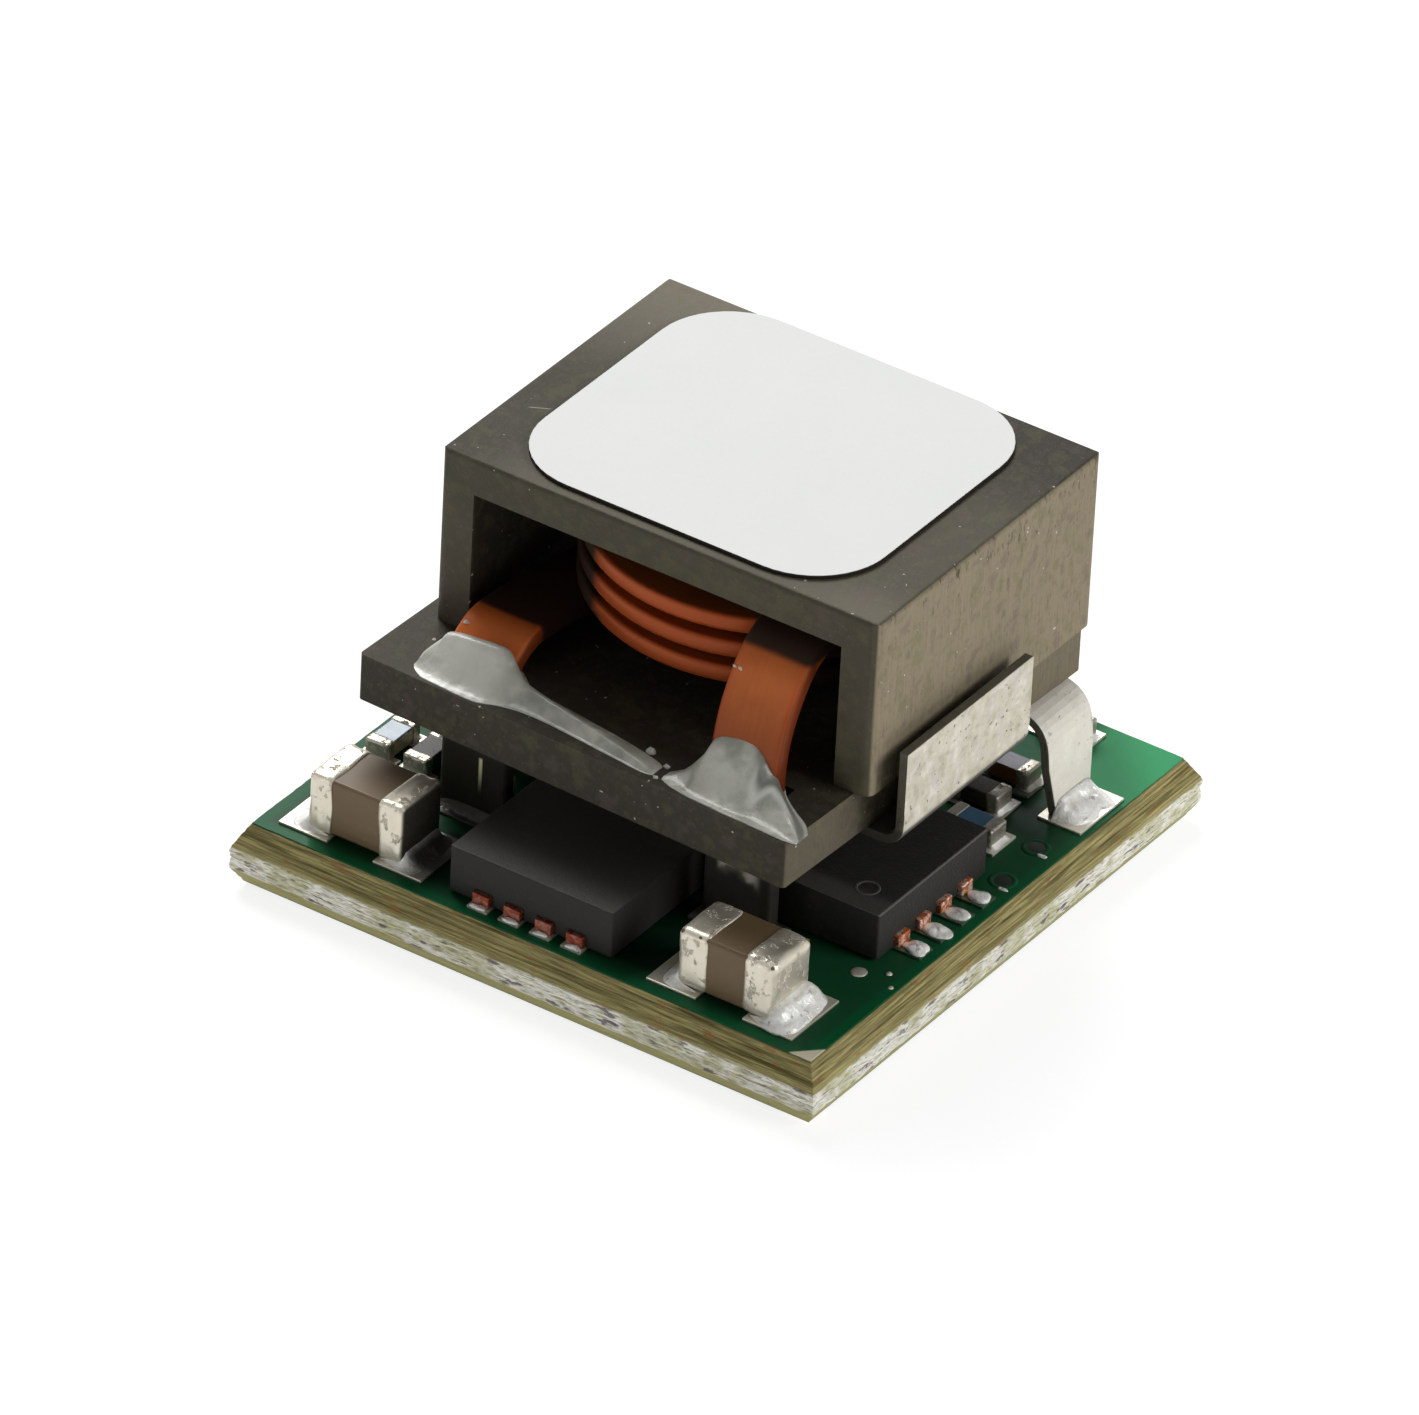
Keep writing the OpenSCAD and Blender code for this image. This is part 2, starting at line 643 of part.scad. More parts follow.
// Half of the clip where it turns down, to a little below the foot where the leg is trimmed
function leg_path(side) =
  let (start = [0, clip_mid_z],
       knee = [tab_x(side) + leg_knee_out, clip_mid_z],
       foot = [foot_x(side), seat_z])
  concat([start], round_corner(start, knee, foot, leg_round), [foot + clip_t * unit(foot - knee)]);

module clip_strip(left, right, y0, y1) {
  translate([0, y1, 0]) rotate([90, 0, 0]) linear_extrude(y1 - y0)
    polygon(strip_outline(both_sides(left, right), clip_t));
}

// Outline of the legs seen from the side, narrowed towards their feet
module leg_outline() {
  narrow_z = (seat_z + plate_z) / 2;
  rotate([90, 0, 90]) translate([0, 0, -board_w / 2]) linear_extrude(board_w)
    polygon([[leg_y - leg_foot_w / 2, seat_z], [leg_y + leg_foot_w / 2, seat_z],
             [leg_y1, narrow_z], [leg_y1, plate_z + past],
             [leg_y0, plate_z + past], [leg_y0, narrow_z]]);
}

module core_clip() {
  flat = leg_round - leg_knee_out;
  color("antiquewhite") {
    clip_strip([[0, clip_mid_z], [left_tab_x - flat, clip_mid_z]], tab_path(1), tab_y0, left_tab_y0);
    clip_strip(tab_path(-1), tab_path(1), left_tab_y0, tab_y1);
    slab(flat - left_tab_x, right_tab_x - flat, tab_y1, leg_y0, plate_z - clip_t, plate_z);
    intersection() {
      clip_strip(leg_path(-1), leg_path(1), leg_y0, leg_y1);
      leg_outline();
    }
  }
}

// Lead frame of a power switch: a row of leads in front and a broad heat pad behind them
module fet_lead_frame() {
  for (i = [-1.5:1.5])
    slab(i * fet_pitch - fet_lead_w / 2, i * fet_pitch + fet_lead_w / 2,
         -fet_d / 2 - fet_lead_out, -fet_d / 2 + fet_lead_l, 0, fet_lead_t);
  slab(-fet_pitch * 2, fet_pitch * 2, -fet_d / 2 + 2 * fet_lead_l, fet_d / 2, 0, fet_lead_t);
}

module fet_pads(out) {
  for (i = [-1.5:1.5])
    pad(i * fet_pitch - fet_pad_w / 2, i * fet_pitch + fet_pad_w / 2,
        -fet_d / 2 - fet_lead_out - out, -fet_d / 2 + fet_lead_l);
  pad(-fet_pitch * 2, fet_pitch * 2, -fet_d / 2 + 2 * fet_lead_l, fet_d / 2 + pad_rim);
}

module fet_body() {
  color("#1c1c1c") difference() {
    translate([-fet_w / 2, -fet_d / 2, 0]) cube([fet_w, fet_d, fet_h]);
    fet_lead_frame();
  }
}

module fet_leads() {
  color("sienna") fet_lead_frame();
}

module front_switch_body() { at_place(fet_front_place) fet_body(); }
module front_switch_leads() { at_place(fet_front_place) fet_leads(); }
module side_switch_body() { at_place(fet_side_place) fet_body(); }
module side_switch_leads() { at_place(fet_side_place) fet_leads(); }

// Ring of leads and heat pad under the controller
module controller_frame(height, out) {
  middle = (chip_leads - 1) / 2;
  lead_w = chip_pitch / 2;
  for (turn = [0:90:270], i = [0:chip_leads - 1]) rotate(turn)
    slab((i - middle) * chip_pitch - lead_w / 2, (i - middle) * chip_pitch + lead_w / 2,
         -chip_side / 2 - out, -chip_side / 2 + chip_lead_l, min(height, 0), max(height, 0));
  heat_pad = chip_side / 2 - 2 * chip_lead_l;
  slab(-heat_pad, heat_pad, -heat_pad, heat_pad, min(height, 0), max(height, 0));
}

module controller_pads() { controller_frame(-pad_t, pad_rim); }

module controller_body() {
  color("#1c1c1c") at_place(chip_place) difference() {
    translate([-chip_side / 2, -chip_side / 2, 0]) cube([chip_side, chip_side, chip_h]);
    controller_frame(fet_lead_t, past);
  }
}

module controller_leads() {
  color("silver") at_place(chip_place) controller_frame(fet_lead_t, 0);
}

// Ceramic block of a chip part, inside its plating
module chip_block(length, width, height, plating, edge_r) {
  translate([0, 0, plating])
    soft_box(length - 2 * plating, width - 2 * plating, height - 2 * plating, edge_r - plating);
}

// Tinned caps on both ends of a chip part
module chip_ends(length, width, height, end, plating, edge_r) {
  difference() {
    soft_box(length, width, height, edge_r);
    slab(end - length / 2, length / 2 - end, -width, width, -past, height + past);
    chip_block(length, width, height, plating, edge_r);
  }
}

module capacitor_body(i) {
  color("rosybrown") at_place(cap_places[i])
    chip_block(cap_l, cap_w, cap_h, cap_plating, cap_edge_r);
}

module capacitor_ends(i) {
  color("lightgray") at_place(cap_places[i])
    chip_ends(cap_l, cap_w, cap_h, cap_end, cap_plating, cap_edge_r);
}

module mini_body(i, tint) {
  color(tint) at_place(mini_places[i])
    chip_block(mini_l, mini_w, mini_h, mini_plating, mini_edge_r);
}

module mini_ends(i) {
  color("lightgray") at_place(mini_places[i])
    chip_ends(mini_l, mini_w, mini_h, mini_end, mini_plating, mini_edge_r);
}

board();
top_pads();
bottom_lands();
solder_joints();
upper_core();
lower_core();
winding();
glue_left();
glue_right();
pickup_label();
core_clip();
front_switch_body();
front_switch_leads();
side_switch_body();
side_switch_leads();
controller_body();
controller_leads();
capacitor_body(0);  // left_capacitor_body
capacitor_ends(0);  // left_capacitor_ends
capacitor_body(1);  // front_capacitor_body
capacitor_ends(1);  // front_capacitor_ends
capacitor_body(2);  // output_capacitor_1_body
capacitor_ends(2);  // output_capacitor_1_ends
capacitor_body(3);  // output_capacitor_2_body
capacitor_ends(3);  // output_capacitor_2_ends
mini_body(0, "steelblue");  // resistor_1_body
mini_ends(0);  // resistor_1_ends
mini_body(1, "slateblue");  // resistor_2_body
mini_ends(1);  // resistor_2_ends
mini_body(2, "steelblue");  // resistor_3_body
mini_ends(2);  // resistor_3_ends
mini_body(3, "darkslategray");  // small_capacitor_1_body
mini_ends(3);  // small_capacitor_1_ends
mini_body(4, "rosybrown");  // small_capacitor_2_body
mini_ends(4);  // small_capacitor_2_ends
mini_body(5, "darkslategray");  // small_capacitor_3_body
mini_ends(5);  // small_capacitor_3_ends
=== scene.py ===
# %% [markdown]
# # A step-down power module under studio light
# The object is a small open circuit module: a square board of about twelve millimetres with a tall
# ferrite inductor standing over its chips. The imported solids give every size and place. This script
# adds what a camera sees: finishes for every surface, and finer surfaces for the pieces that were
# poured, soldered, wound or snapped, and so never have the flat faces of a solid.
# All sizes below are in millimetres, and turn into Blender's metres when a mesh is made.

# %% Load the frame
import math

import bpy
import numpy as np
from mathutils import Matrix, Vector


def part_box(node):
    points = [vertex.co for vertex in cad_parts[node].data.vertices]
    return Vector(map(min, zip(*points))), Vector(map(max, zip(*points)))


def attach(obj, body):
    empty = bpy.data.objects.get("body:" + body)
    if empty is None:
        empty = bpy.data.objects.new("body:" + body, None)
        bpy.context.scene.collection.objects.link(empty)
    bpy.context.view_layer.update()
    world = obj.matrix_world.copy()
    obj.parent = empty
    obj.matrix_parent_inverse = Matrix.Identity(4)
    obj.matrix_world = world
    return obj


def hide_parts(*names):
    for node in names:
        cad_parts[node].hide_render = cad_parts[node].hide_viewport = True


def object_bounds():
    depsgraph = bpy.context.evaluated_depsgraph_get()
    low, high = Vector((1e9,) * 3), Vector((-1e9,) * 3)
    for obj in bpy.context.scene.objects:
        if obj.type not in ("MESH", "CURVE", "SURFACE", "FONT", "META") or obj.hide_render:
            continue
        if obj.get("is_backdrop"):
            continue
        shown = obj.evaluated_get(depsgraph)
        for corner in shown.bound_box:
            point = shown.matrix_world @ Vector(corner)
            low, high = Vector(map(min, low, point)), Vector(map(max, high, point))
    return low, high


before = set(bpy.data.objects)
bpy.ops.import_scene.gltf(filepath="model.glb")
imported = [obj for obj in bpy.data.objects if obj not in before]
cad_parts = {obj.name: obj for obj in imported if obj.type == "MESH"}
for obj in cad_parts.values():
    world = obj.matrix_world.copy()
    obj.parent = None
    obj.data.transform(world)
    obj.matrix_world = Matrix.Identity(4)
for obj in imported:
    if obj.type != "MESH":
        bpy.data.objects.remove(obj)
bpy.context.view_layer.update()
MM = 0.001

# %% [markdown]
# ## Camera, light and floor
# The photograph was taken from far away with a long lens, looking down on the front corner of the
# module, on a white ground. A long lens keeps the board's edges parallel. The same view could be made
# with a near camera, but then the near corner would swell. The camera is turned a little about its
# own axis, as the photographer's was.

# %% Camera
VIEW_AZIMUTH = math.radians(32.497)
VIEW_ELEVATION = math.radians(33.634)
VIEW_ROLL = math.radians(3.107)
VIEW_DISTANCE = 300
VIEW_FOCUS = np.array([0, 0, 4])
# Way from the focus to the middle of the picture, to the right and up in the picture
FRAMING = (-0.307, -0.852)
LENS = 441.4
SENSOR = 36


def view_axes():
    """Right, up and back of the picture: the level axes at the azimuth and elevation, rolled."""
    a, e, r = VIEW_AZIMUTH, VIEW_ELEVATION, VIEW_ROLL
    back = np.array([math.sin(a) * math.cos(e), -math.cos(a) * math.cos(e), math.sin(e)])
    right = np.array([math.cos(a), math.sin(a), 0])
    up = np.cross(back, right)
    return math.cos(r) * right + math.sin(r) * up, math.cos(r) * up - math.sin(r) * right, back


def add_camera():
    """The photograph's camera: it stands off along the view axis and aims at the picture's middle."""
    right, up, back = view_axes()
    eye = VIEW_FOCUS + VIEW_DISTANCE * back
    aim = VIEW_FOCUS + FRAMING[0] * right + FRAMING[1] * up
    z_axis = Vector(eye - aim).normalized()
    x_axis = Vector(up).cross(z_axis).normalized()
    y_axis = z_axis.cross(x_axis)
    lens = bpy.data.cameras.new("photo_camera")
    lens.lens = LENS
    lens.sensor_width = SENSOR
    lens.clip_start = 0.01
    camera = bpy.data.objects.new("photo_camera", lens)
    turn = Matrix((x_axis, y_axis, z_axis)).transposed().to_4x4()
    camera.matrix_world = Matrix.Translation(Vector(eye) * MM) @ turn
    bpy.context.scene.collection.objects.link(camera)
    bpy.context.scene.camera = camera
    return camera


camera = add_camera()
bpy.context.scene.view_settings.view_transform = "Standard"
print("camera at", [round(v / MM, 1) for v in camera.location])

# %% [markdown]
# Shaders are written as sums here. A small class holds one socket of a node tree, and Python's
# operators add the Math nodes, so that a line such as `1 - spots * 0.5` builds its own little graph.
# Dragging nodes by hand gives the same result, but a formula is easier to read and to change.


# %% Shader arithmetic
class Shade:
    """One socket of a shader tree that can be added, multiplied and fed to other nodes."""

    def __init__(self, tree, socket):
        self.tree = tree
        self.socket = socket

    def node(self, kind, settings=None, inputs=None, output=0):
        """Adds any node: its settings first, then the values or links of its sockets."""
        made = self.tree.nodes.new(kind)
        for name, value in (settings or {}).items():
            setattr(made, name, value)
        for name, value in (inputs or {}).items():
            if isinstance(value, Shade):
                self.tree.links.new(value.socket, made.inputs[name])
            else:
                made.inputs[name].default_value = value
        return Shade(self.tree, made.outputs[output])

    def math(self, operation, a, b=0.0):
        """A Math node on one or two values."""
        return self.node("ShaderNodeMath", {"operation": operation}, {0: a, 1: b})

    def __add__(self, other):
        return self.math("ADD", self, other)

    def __sub__(self, other):
        return self.math("SUBTRACT", self, other)

    def __rsub__(self, other):
        return self.math("SUBTRACT", other, self)

    def __mul__(self, other):
        return self.math("MULTIPLY", self, other)

    def __abs__(self):
        return self.math("ABSOLUTE", self)

    __radd__ = __add__
    __rmul__ = __mul__


def rise(value, low, high):
    """0 below low, 1 above high and an even, eased climb between them."""
    return value.node("ShaderNodeMapRange", {"interpolation_type": "SMOOTHSTEP"},
                      {0: value, 1: low, 2: high})


def fall(value, low, high):
    """1 below low, 0 above high: a rise turned over."""
    return 1 - rise(value, low, high)


def band(value, start, full, fade, end):
    """0 outside start and end, and 1 from full to fade between them."""
    return rise(value, start, full) * fall(value, fade, end)


def most(a, b):
    """The larger of two values."""
    return a.math("MAXIMUM", a, b)


def paint(code, gain=1.0):
    """A colour written as on screen, #rrggbb, as the linear values that shaders take."""
    seen = np.array([int(code[i:i + 2], 16) for i in (1, 3, 5)]) / 255
    linear = np.where(seen <= 0.04045, seen / 12.92, ((seen + 0.055) / 1.055) ** 2.4)
    return (*(linear * gain).tolist(), 1.0)


def blend(factor, a, b):
    """Colour a where factor is 0 and colour b where it is 1; either may be written as #rrggbb."""
    a, b = (paint(colour) if isinstance(colour, str) else colour for colour in (a, b))
    return factor.node("ShaderNodeMix", {"data_type": "RGBA"}, {0: factor, 6: a, 7: b}, output=2)


def coats(colour, *layers):
    """Colours laid over one another in turn: each layer is a share and the colour that it brings."""
    for share, over in layers:
        colour = blend(share, colour, over)
    return colour


def noise(place, size, detail=3.0, rough=0.55, twist=0.0):
    """Cloudy value about 0.5 whose lumps are size millimetres across."""
    return place.node("ShaderNodeTexNoise", None,
                      {"Vector": place, "Scale": 1 / size, "Detail": detail, "Roughness": rough,
                       "Distortion": twist})


def stretched(place, x, y, z):
    """The place, with each axis divided by its own length, so that a pattern is drawn out along it."""
    return place.node("ShaderNodeVectorMath", {"operation": "DIVIDE"}, {0: place, 1: (x, y, z)})


def split(vector):
    """The three parts of a vector."""
    return [vector.node("ShaderNodeSeparateXYZ", None, {0: vector}, output=i) for i in range(3)]


def relief(height, depth):
    """Normals of a surface whose height goes from 0 to 1 over depth millimetres."""
    return height.node("ShaderNodeBump", None, {"Distance": depth * MM, "Height": height})


# %% [markdown]
# Every finish starts from the same shader, with the place on the object in millimetres and the way
# that the face looks. The room and the floor also ask what kind of ray meets them, and that is a
# helper too.

# %% A finish
def start_finish(name, **constants):
    """A material with its Principled shader, the place on the object in millimetres, and the way that
    its face looks."""
    material = bpy.data.materials.new(name)
    material.use_nodes = True
    tree = material.node_tree
    shader = tree.nodes["Principled BSDF"]
    for socket, value in constants.items():
        shader.inputs[socket.replace("_", " ")].default_value = value
    spot = tree.nodes.new("ShaderNodeTexCoord")
    metres = Shade(tree, spot.outputs["Object"])
    place = metres.node("ShaderNodeVectorMath", {"operation": "SCALE"}, {0: metres, 3: 1 / MM})
    facing = Shade(tree, spot.outputs["Normal"])
    return material, shader, place, facing


def feed(shader, **values):
    """Links what changes over the surface to the shader's sockets."""
    for socket, value in values.items():
        value.tree.links.new(value.socket, shader.inputs[socket.replace("_", " ")])


def ray_kinds(tree):
    """1 for rays from the camera, by way of gloss, and through glass."""
    path = tree.nodes.new("ShaderNodeLightPath")
    kinds = ("Camera", "Glossy", "Transmission")
    return [Shade(tree, path.outputs[f"Is {kind} Ray"]) for kind in kinds]


print("shader helpers ready")

# %% [markdown]
# The light is a white table under a large soft lamp that hangs high at the back left, with a second
# lamp on the right and a weak one in front. A picture of a studio could light it too, but three lamps
# are easier to move. The room itself is dim, so hollows stay dark and the table's own bounce lights
# the lower faces. The ground is white for the camera and for reflections, and only a part of it keeps
# the shadow, so that the module stands on something.

# %% World, lamps and floor
ROOM_LIGHT = 0.06
GLOSS_LIGHT = 0.5
LAMPS = {
    "overhead": {"place": (-230, 200, 320), "size": 220, "power": 1.85},
    "right": {"place": (380, 90, 200), "size": 200, "power": 0.95},
    "front": {"place": (-190, -380, 130), "size": 220, "power": 0.17},
}
FLOOR_RADIUS = 900
FLOOR_CORNERS = 96
FLOOR_Z = -0.01
FLOOR_GLOW = 0.84
TABLE_GLOW = (0.56, 0.56, 0.54, 1)


def light_room():
    """World colour: white where it is seen, half as bright in reflections, dim where it lights."""
    world = bpy.data.worlds.new("white_room")
    bpy.context.scene.world = world
    world.use_nodes = True
    tree = world.node_tree
    camera_ray, glossy_ray, clear_ray = ray_kinds(tree)
    seen = most(camera_ray, clear_ray)
    level = seen * (1 - ROOM_LIGHT) + glossy_ray * (GLOSS_LIGHT - ROOM_LIGHT) + ROOM_LIGHT
    ground = tree.nodes["Background"]
    ground.inputs["Color"].default_value = (1, 1, 1, 1)
    tree.links.new(level.socket, ground.inputs["Strength"])


def add_lamp(name, place, size, power):
    """A square soft lamp that faces the middle of the module."""
    light = bpy.data.lights.new(name, "AREA")
    light.size = size * MM
    light.energy = power
    lamp = bpy.data.objects.new(name, light)
    at = Vector(place)
    turn = (Vector(VIEW_FOCUS) - at).to_track_quat("-Z", "Y").to_matrix().to_4x4()
    lamp.matrix_world = Matrix.Translation(at * MM) @ turn
    bpy.context.scene.collection.objects.link(lamp)


def add_floor():
    """A pale disc under the lands: it glows and bounces light like a lit white table, and where it is
    seen its glow makes it white while a grey part keeps the shadow."""
    angle = np.linspace(0, 2 * math.pi, FLOOR_CORNERS + 1)[:-1]
    ring = np.column_stack([FLOOR_RADIUS * np.cos(angle), FLOOR_RADIUS * np.sin(angle),
                            0 * angle + FLOOR_Z]) * MM
    mesh = bpy.data.meshes.new("floor")
    mesh.from_pydata(ring.tolist(), [], [list(range(len(ring)))])
    material, shader, place, _ = start_finish("pale_floor", Roughness=0.9, Specular_IOR_Level=0.0)
    camera_ray, glossy_ray, clear_ray = ray_kinds(material.node_tree)
    seen = most(camera_ray, most(glossy_ray, clear_ray))
    grey = blend(noise(place, 40), "#8E8E8E", "#949494")
    feed(shader, Base_Color=blend(seen, "#E6E6E4", grey),
         Emission_Color=blend(seen, TABLE_GLOW, (1, 1, 1, 1)))
    shader.inputs["Emission Strength"].default_value = FLOOR_GLOW
    mesh.materials.append(material)
    floor = bpy.data.objects.new("floor", mesh)
    bpy.context.scene.collection.objects.link(floor)
    floor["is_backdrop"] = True


light_room()
for lamp_name, lamp in LAMPS.items():
    add_lamp(lamp_name, **lamp)
add_floor()
print("room light", ROOM_LIGHT, "and lamps", sorted(LAMPS))

# %% [markdown]
# ## Finishes
# Each finish names the colours that the real surface shows and says where they change: by height,
# by the way a face looks, and by noise of the size of the real grain. Some colours are painted light
# and shade: where the real part lies in a nook that soft lamps would fill with light, its finish has
# painted shade there, and a few faces get painted light and painted highlights.
#
# The core is pressed from iron oxide powder and fired, which leaves it dark and matt. Its outer sides
# are ground, and there it is taupe, with strokes and pits of the wheel. A picture of stone could be
# wrapped round it, but noise that is drawn out along the grinding needs no picture and has no seam.

# %% Ferrite
CORE_SIDE, CORE_TOP = 4.53, 7.75
PLATE_TOP = 4.23
CORE_FRONT, WINDOW_HALF, WINDOW_ROOF = -2.39, 3.8, 7.05
SCRATCH_X, SCRATCH_Y, SCRATCH_TURN = -3.88, -0.33, math.radians(29.08)


def fired_ferrite(place, up, cloud, on_plate):
    """Colour as fired, with painted light and shade: the top is painted darker, with painted sheen
    along its rims and painted shade in its far corner, and painted shade darkens the plate, the window
    and the shelf before it. A short pale scratch lies beside the label."""
    x, y, z = split(place)
    on_top = rise(up, 0.7, 0.9) * rise(z, CORE_TOP - 0.25, CORE_TOP - 0.15)
    back_rim = rise(y, 0.5, 4.6) * fall(x, -3, 1.5)
    front_rim = fall(y, -2.2, -1.0) * rise(x, -4.2, -2.5)
    right_rim = rise(x, 2.5, 4) * fall(y, 1, 3)
    far_corner = rise(x, 1.5, 3.5) * rise(y, 1.8, 3.8)
    rims = 0.5 * back_rim + 0.2 * front_rim + 0.1 * right_rim
    hollow = rise(y, CORE_FRONT + 0.03, CORE_FRONT + 0.11)
    hollow = hollow * rise(z, PLATE_TOP - 0.1, PLATE_TOP - 0.02)
    hollow = hollow * fall(z, WINDOW_ROOF + 0.02, WINDOW_ROOF + 0.07)
    hollow = hollow * fall(abs(x), WINDOW_HALF + 0.04, WINDOW_HALF + 0.1)
    shelf = on_plate * rise(up, 0.6, 0.8) * rise(x, -3.4, -2.9)
    from_x, from_y = x - SCRATCH_X, y - SCRATCH_Y
    off_line = abs(math.cos(SCRATCH_TURN) * from_y - math.sin(SCRATCH_TURN) * from_x)
    scratch = fall(off_line, 0.006, 0.014) * fall(abs(from_x), 0.12, 0.2)
    scratch = scratch * rise(z, CORE_TOP - 0.05, CORE_TOP - 0.01)
    return coats(
        blend(cloud, "#433F35", "#5B5648"),
        # Painted shade on the top, painted sheen along its rims and painted shade in its far corner
        (on_top * 0.45, "#35322A"),
        (on_top * rims, "#98927F"),
        (on_top * far_corner * 0.45, "#1F1D18"),
        # Painted shade on the plate, in the window and on the shelf before it
        (on_plate * 0.7, "#302D27"),
        (most(0.65 * hollow, 0.86 * shelf), "#2B2822"),
        (scratch * 0.6, "#C9C5B8"),
    )


def ground_ferrite(place, cloud, strokes):
    """Colour of a ground side: taupe strokes, pits that gather under the top edge, and the shade
    behind a tab."""
    _, y, z = split(place)
    pits = rise(noise(stretched(place, 1, 0.11, 0.3), 1.0, detail=5, rough=0.7), 0.54, 0.68)
    near_top = rise(z + 0.5 * cloud, 6.6, 7.9)
    by_tab = band(y, -2.3, -2.1, 1.7, 2.0) * fall(z, 4.72, 5.0)
    return coats(
        blend(strokes, "#756B58", "#998E77"),
        (cloud * 0.35, "#A0957F"),
        (pits * (0.35 + 0.6 * near_top), "#4E4739"),
        (by_tab * 0.75, "#2B2720"),
    )


def ferrite_finish():
    """Sintered ferrite: dark as fired, ground to a lighter taupe on the outer sides, and mottled all
    over with olive, mauve and a few white specks."""
    material, shader, place, facing = start_finish("ferrite", Specular_IOR_Level=0.12)
    x, y, z = split(place)
    side, _, up = split(facing)
    on_plate = fall(z, PLATE_TOP - 0.04, PLATE_TOP + 0.04)
    beside = most(rise(abs(x), CORE_SIDE - 0.35, CORE_SIDE - 0.2),
                  0.3 * on_plate * rise(abs(x), CORE_SIDE - 0.65, CORE_SIDE - 0.55))
    outside = rise(abs(side), 0.6, 0.85) * beside
    grain = noise(place, 0.07, detail=4)
    cloud = noise(place, 1.5, detail=5, rough=0.6)
    mottle = noise(place, 0.45, detail=4, rough=0.6)
    strokes = noise(stretched(place, 0.5, 0.07, 1.3), 1.0, detail=5, rough=0.7)
    specks = rise(noise(place, 0.12, detail=1), 0.765, 0.795)
    fired = fired_ferrite(place, up, cloud, on_plate)
    ground = ground_ferrite(place, cloud, strokes)
    colour = coats(
        blend(outside * (1 - 0.4 * on_plate * rise(y, -3.2, -2.2)), fired, ground),
        (rise(mottle, 0.5, 0.66) * (0.2 + 0.2 * outside), "#6F6C48"),
        (fall(mottle, 0.32, 0.48) * (0.22 + 0.2 * outside), "#6B5A57"),
        (rise(grain, 0.6, 0.8) * 0.3, "#8B8473"),
        (specks * 0.7, "#DAD7CC"),
    )
    feed(shader, Base_Color=colour, Roughness=0.48 + 0.2 * cloud + 0.12 * outside,
         Normal=relief(0.5 * grain + 0.5 * cloud + strokes * outside, 0.025))
    return material


FINISHES = {"ferrite": ferrite_finish()}
print("finish made:", *FINISHES)

# %% [markdown]
# The wire is copper under a clear amber varnish, and redder where the varnish gathers along its edges.
# It could be a plain orange gloss. Real wire also has fine lines from the drawing die, which follow it
# round every bend, so they are drawn on a UV map that the wire gets with its mesh. Below the plate the
# leads are tinned. The wire also has painted light and shade: lighter leads, darker flanks, dark runs
# inside the window and dark tinned feet with a few painted highlights.

# %% Wire enamel
LEFT_OF_COIL, RIGHT_OF_COIL = (-1.6, -1.3), (1.2, 1.5)


def foot_colour(place, cloud):
    """Tin on the leads below the plate, dark with painted shade, with a painted lit patch on the right
    stub and two painted highlights on the left one."""
    x, y, z = split(place)
    stub = band(x, 2.1, 2.3, 2.85, 3.1) * rise(z + cloud, 2.6, 3.0)
    streak = fall(abs(x + 2.78), 0.02, 0.05) * band(z, 1.75, 2.4, 2.5, 2.56)
    side_glint = fall(abs(y + 3.08), 0.03, 0.06) * band(x, -2.3, -2.25, -2.1, -2.0)
    side_glint = side_glint * band(z, 1.8, 2.1, 2.2, 2.3)
    return coats(
        # Painted shade on the tin, painted light on the right stub and painted highlights on the left
        # lead
        blend(cloud, "#1F1E1A", "#3B3933"),
        (stub, blend(rise(cloud, 0.45, 0.6), "#6A675C", "#C9C6BA")),
        (most(streak, 0.7 * side_glint), "#F4F1C8"),
    )


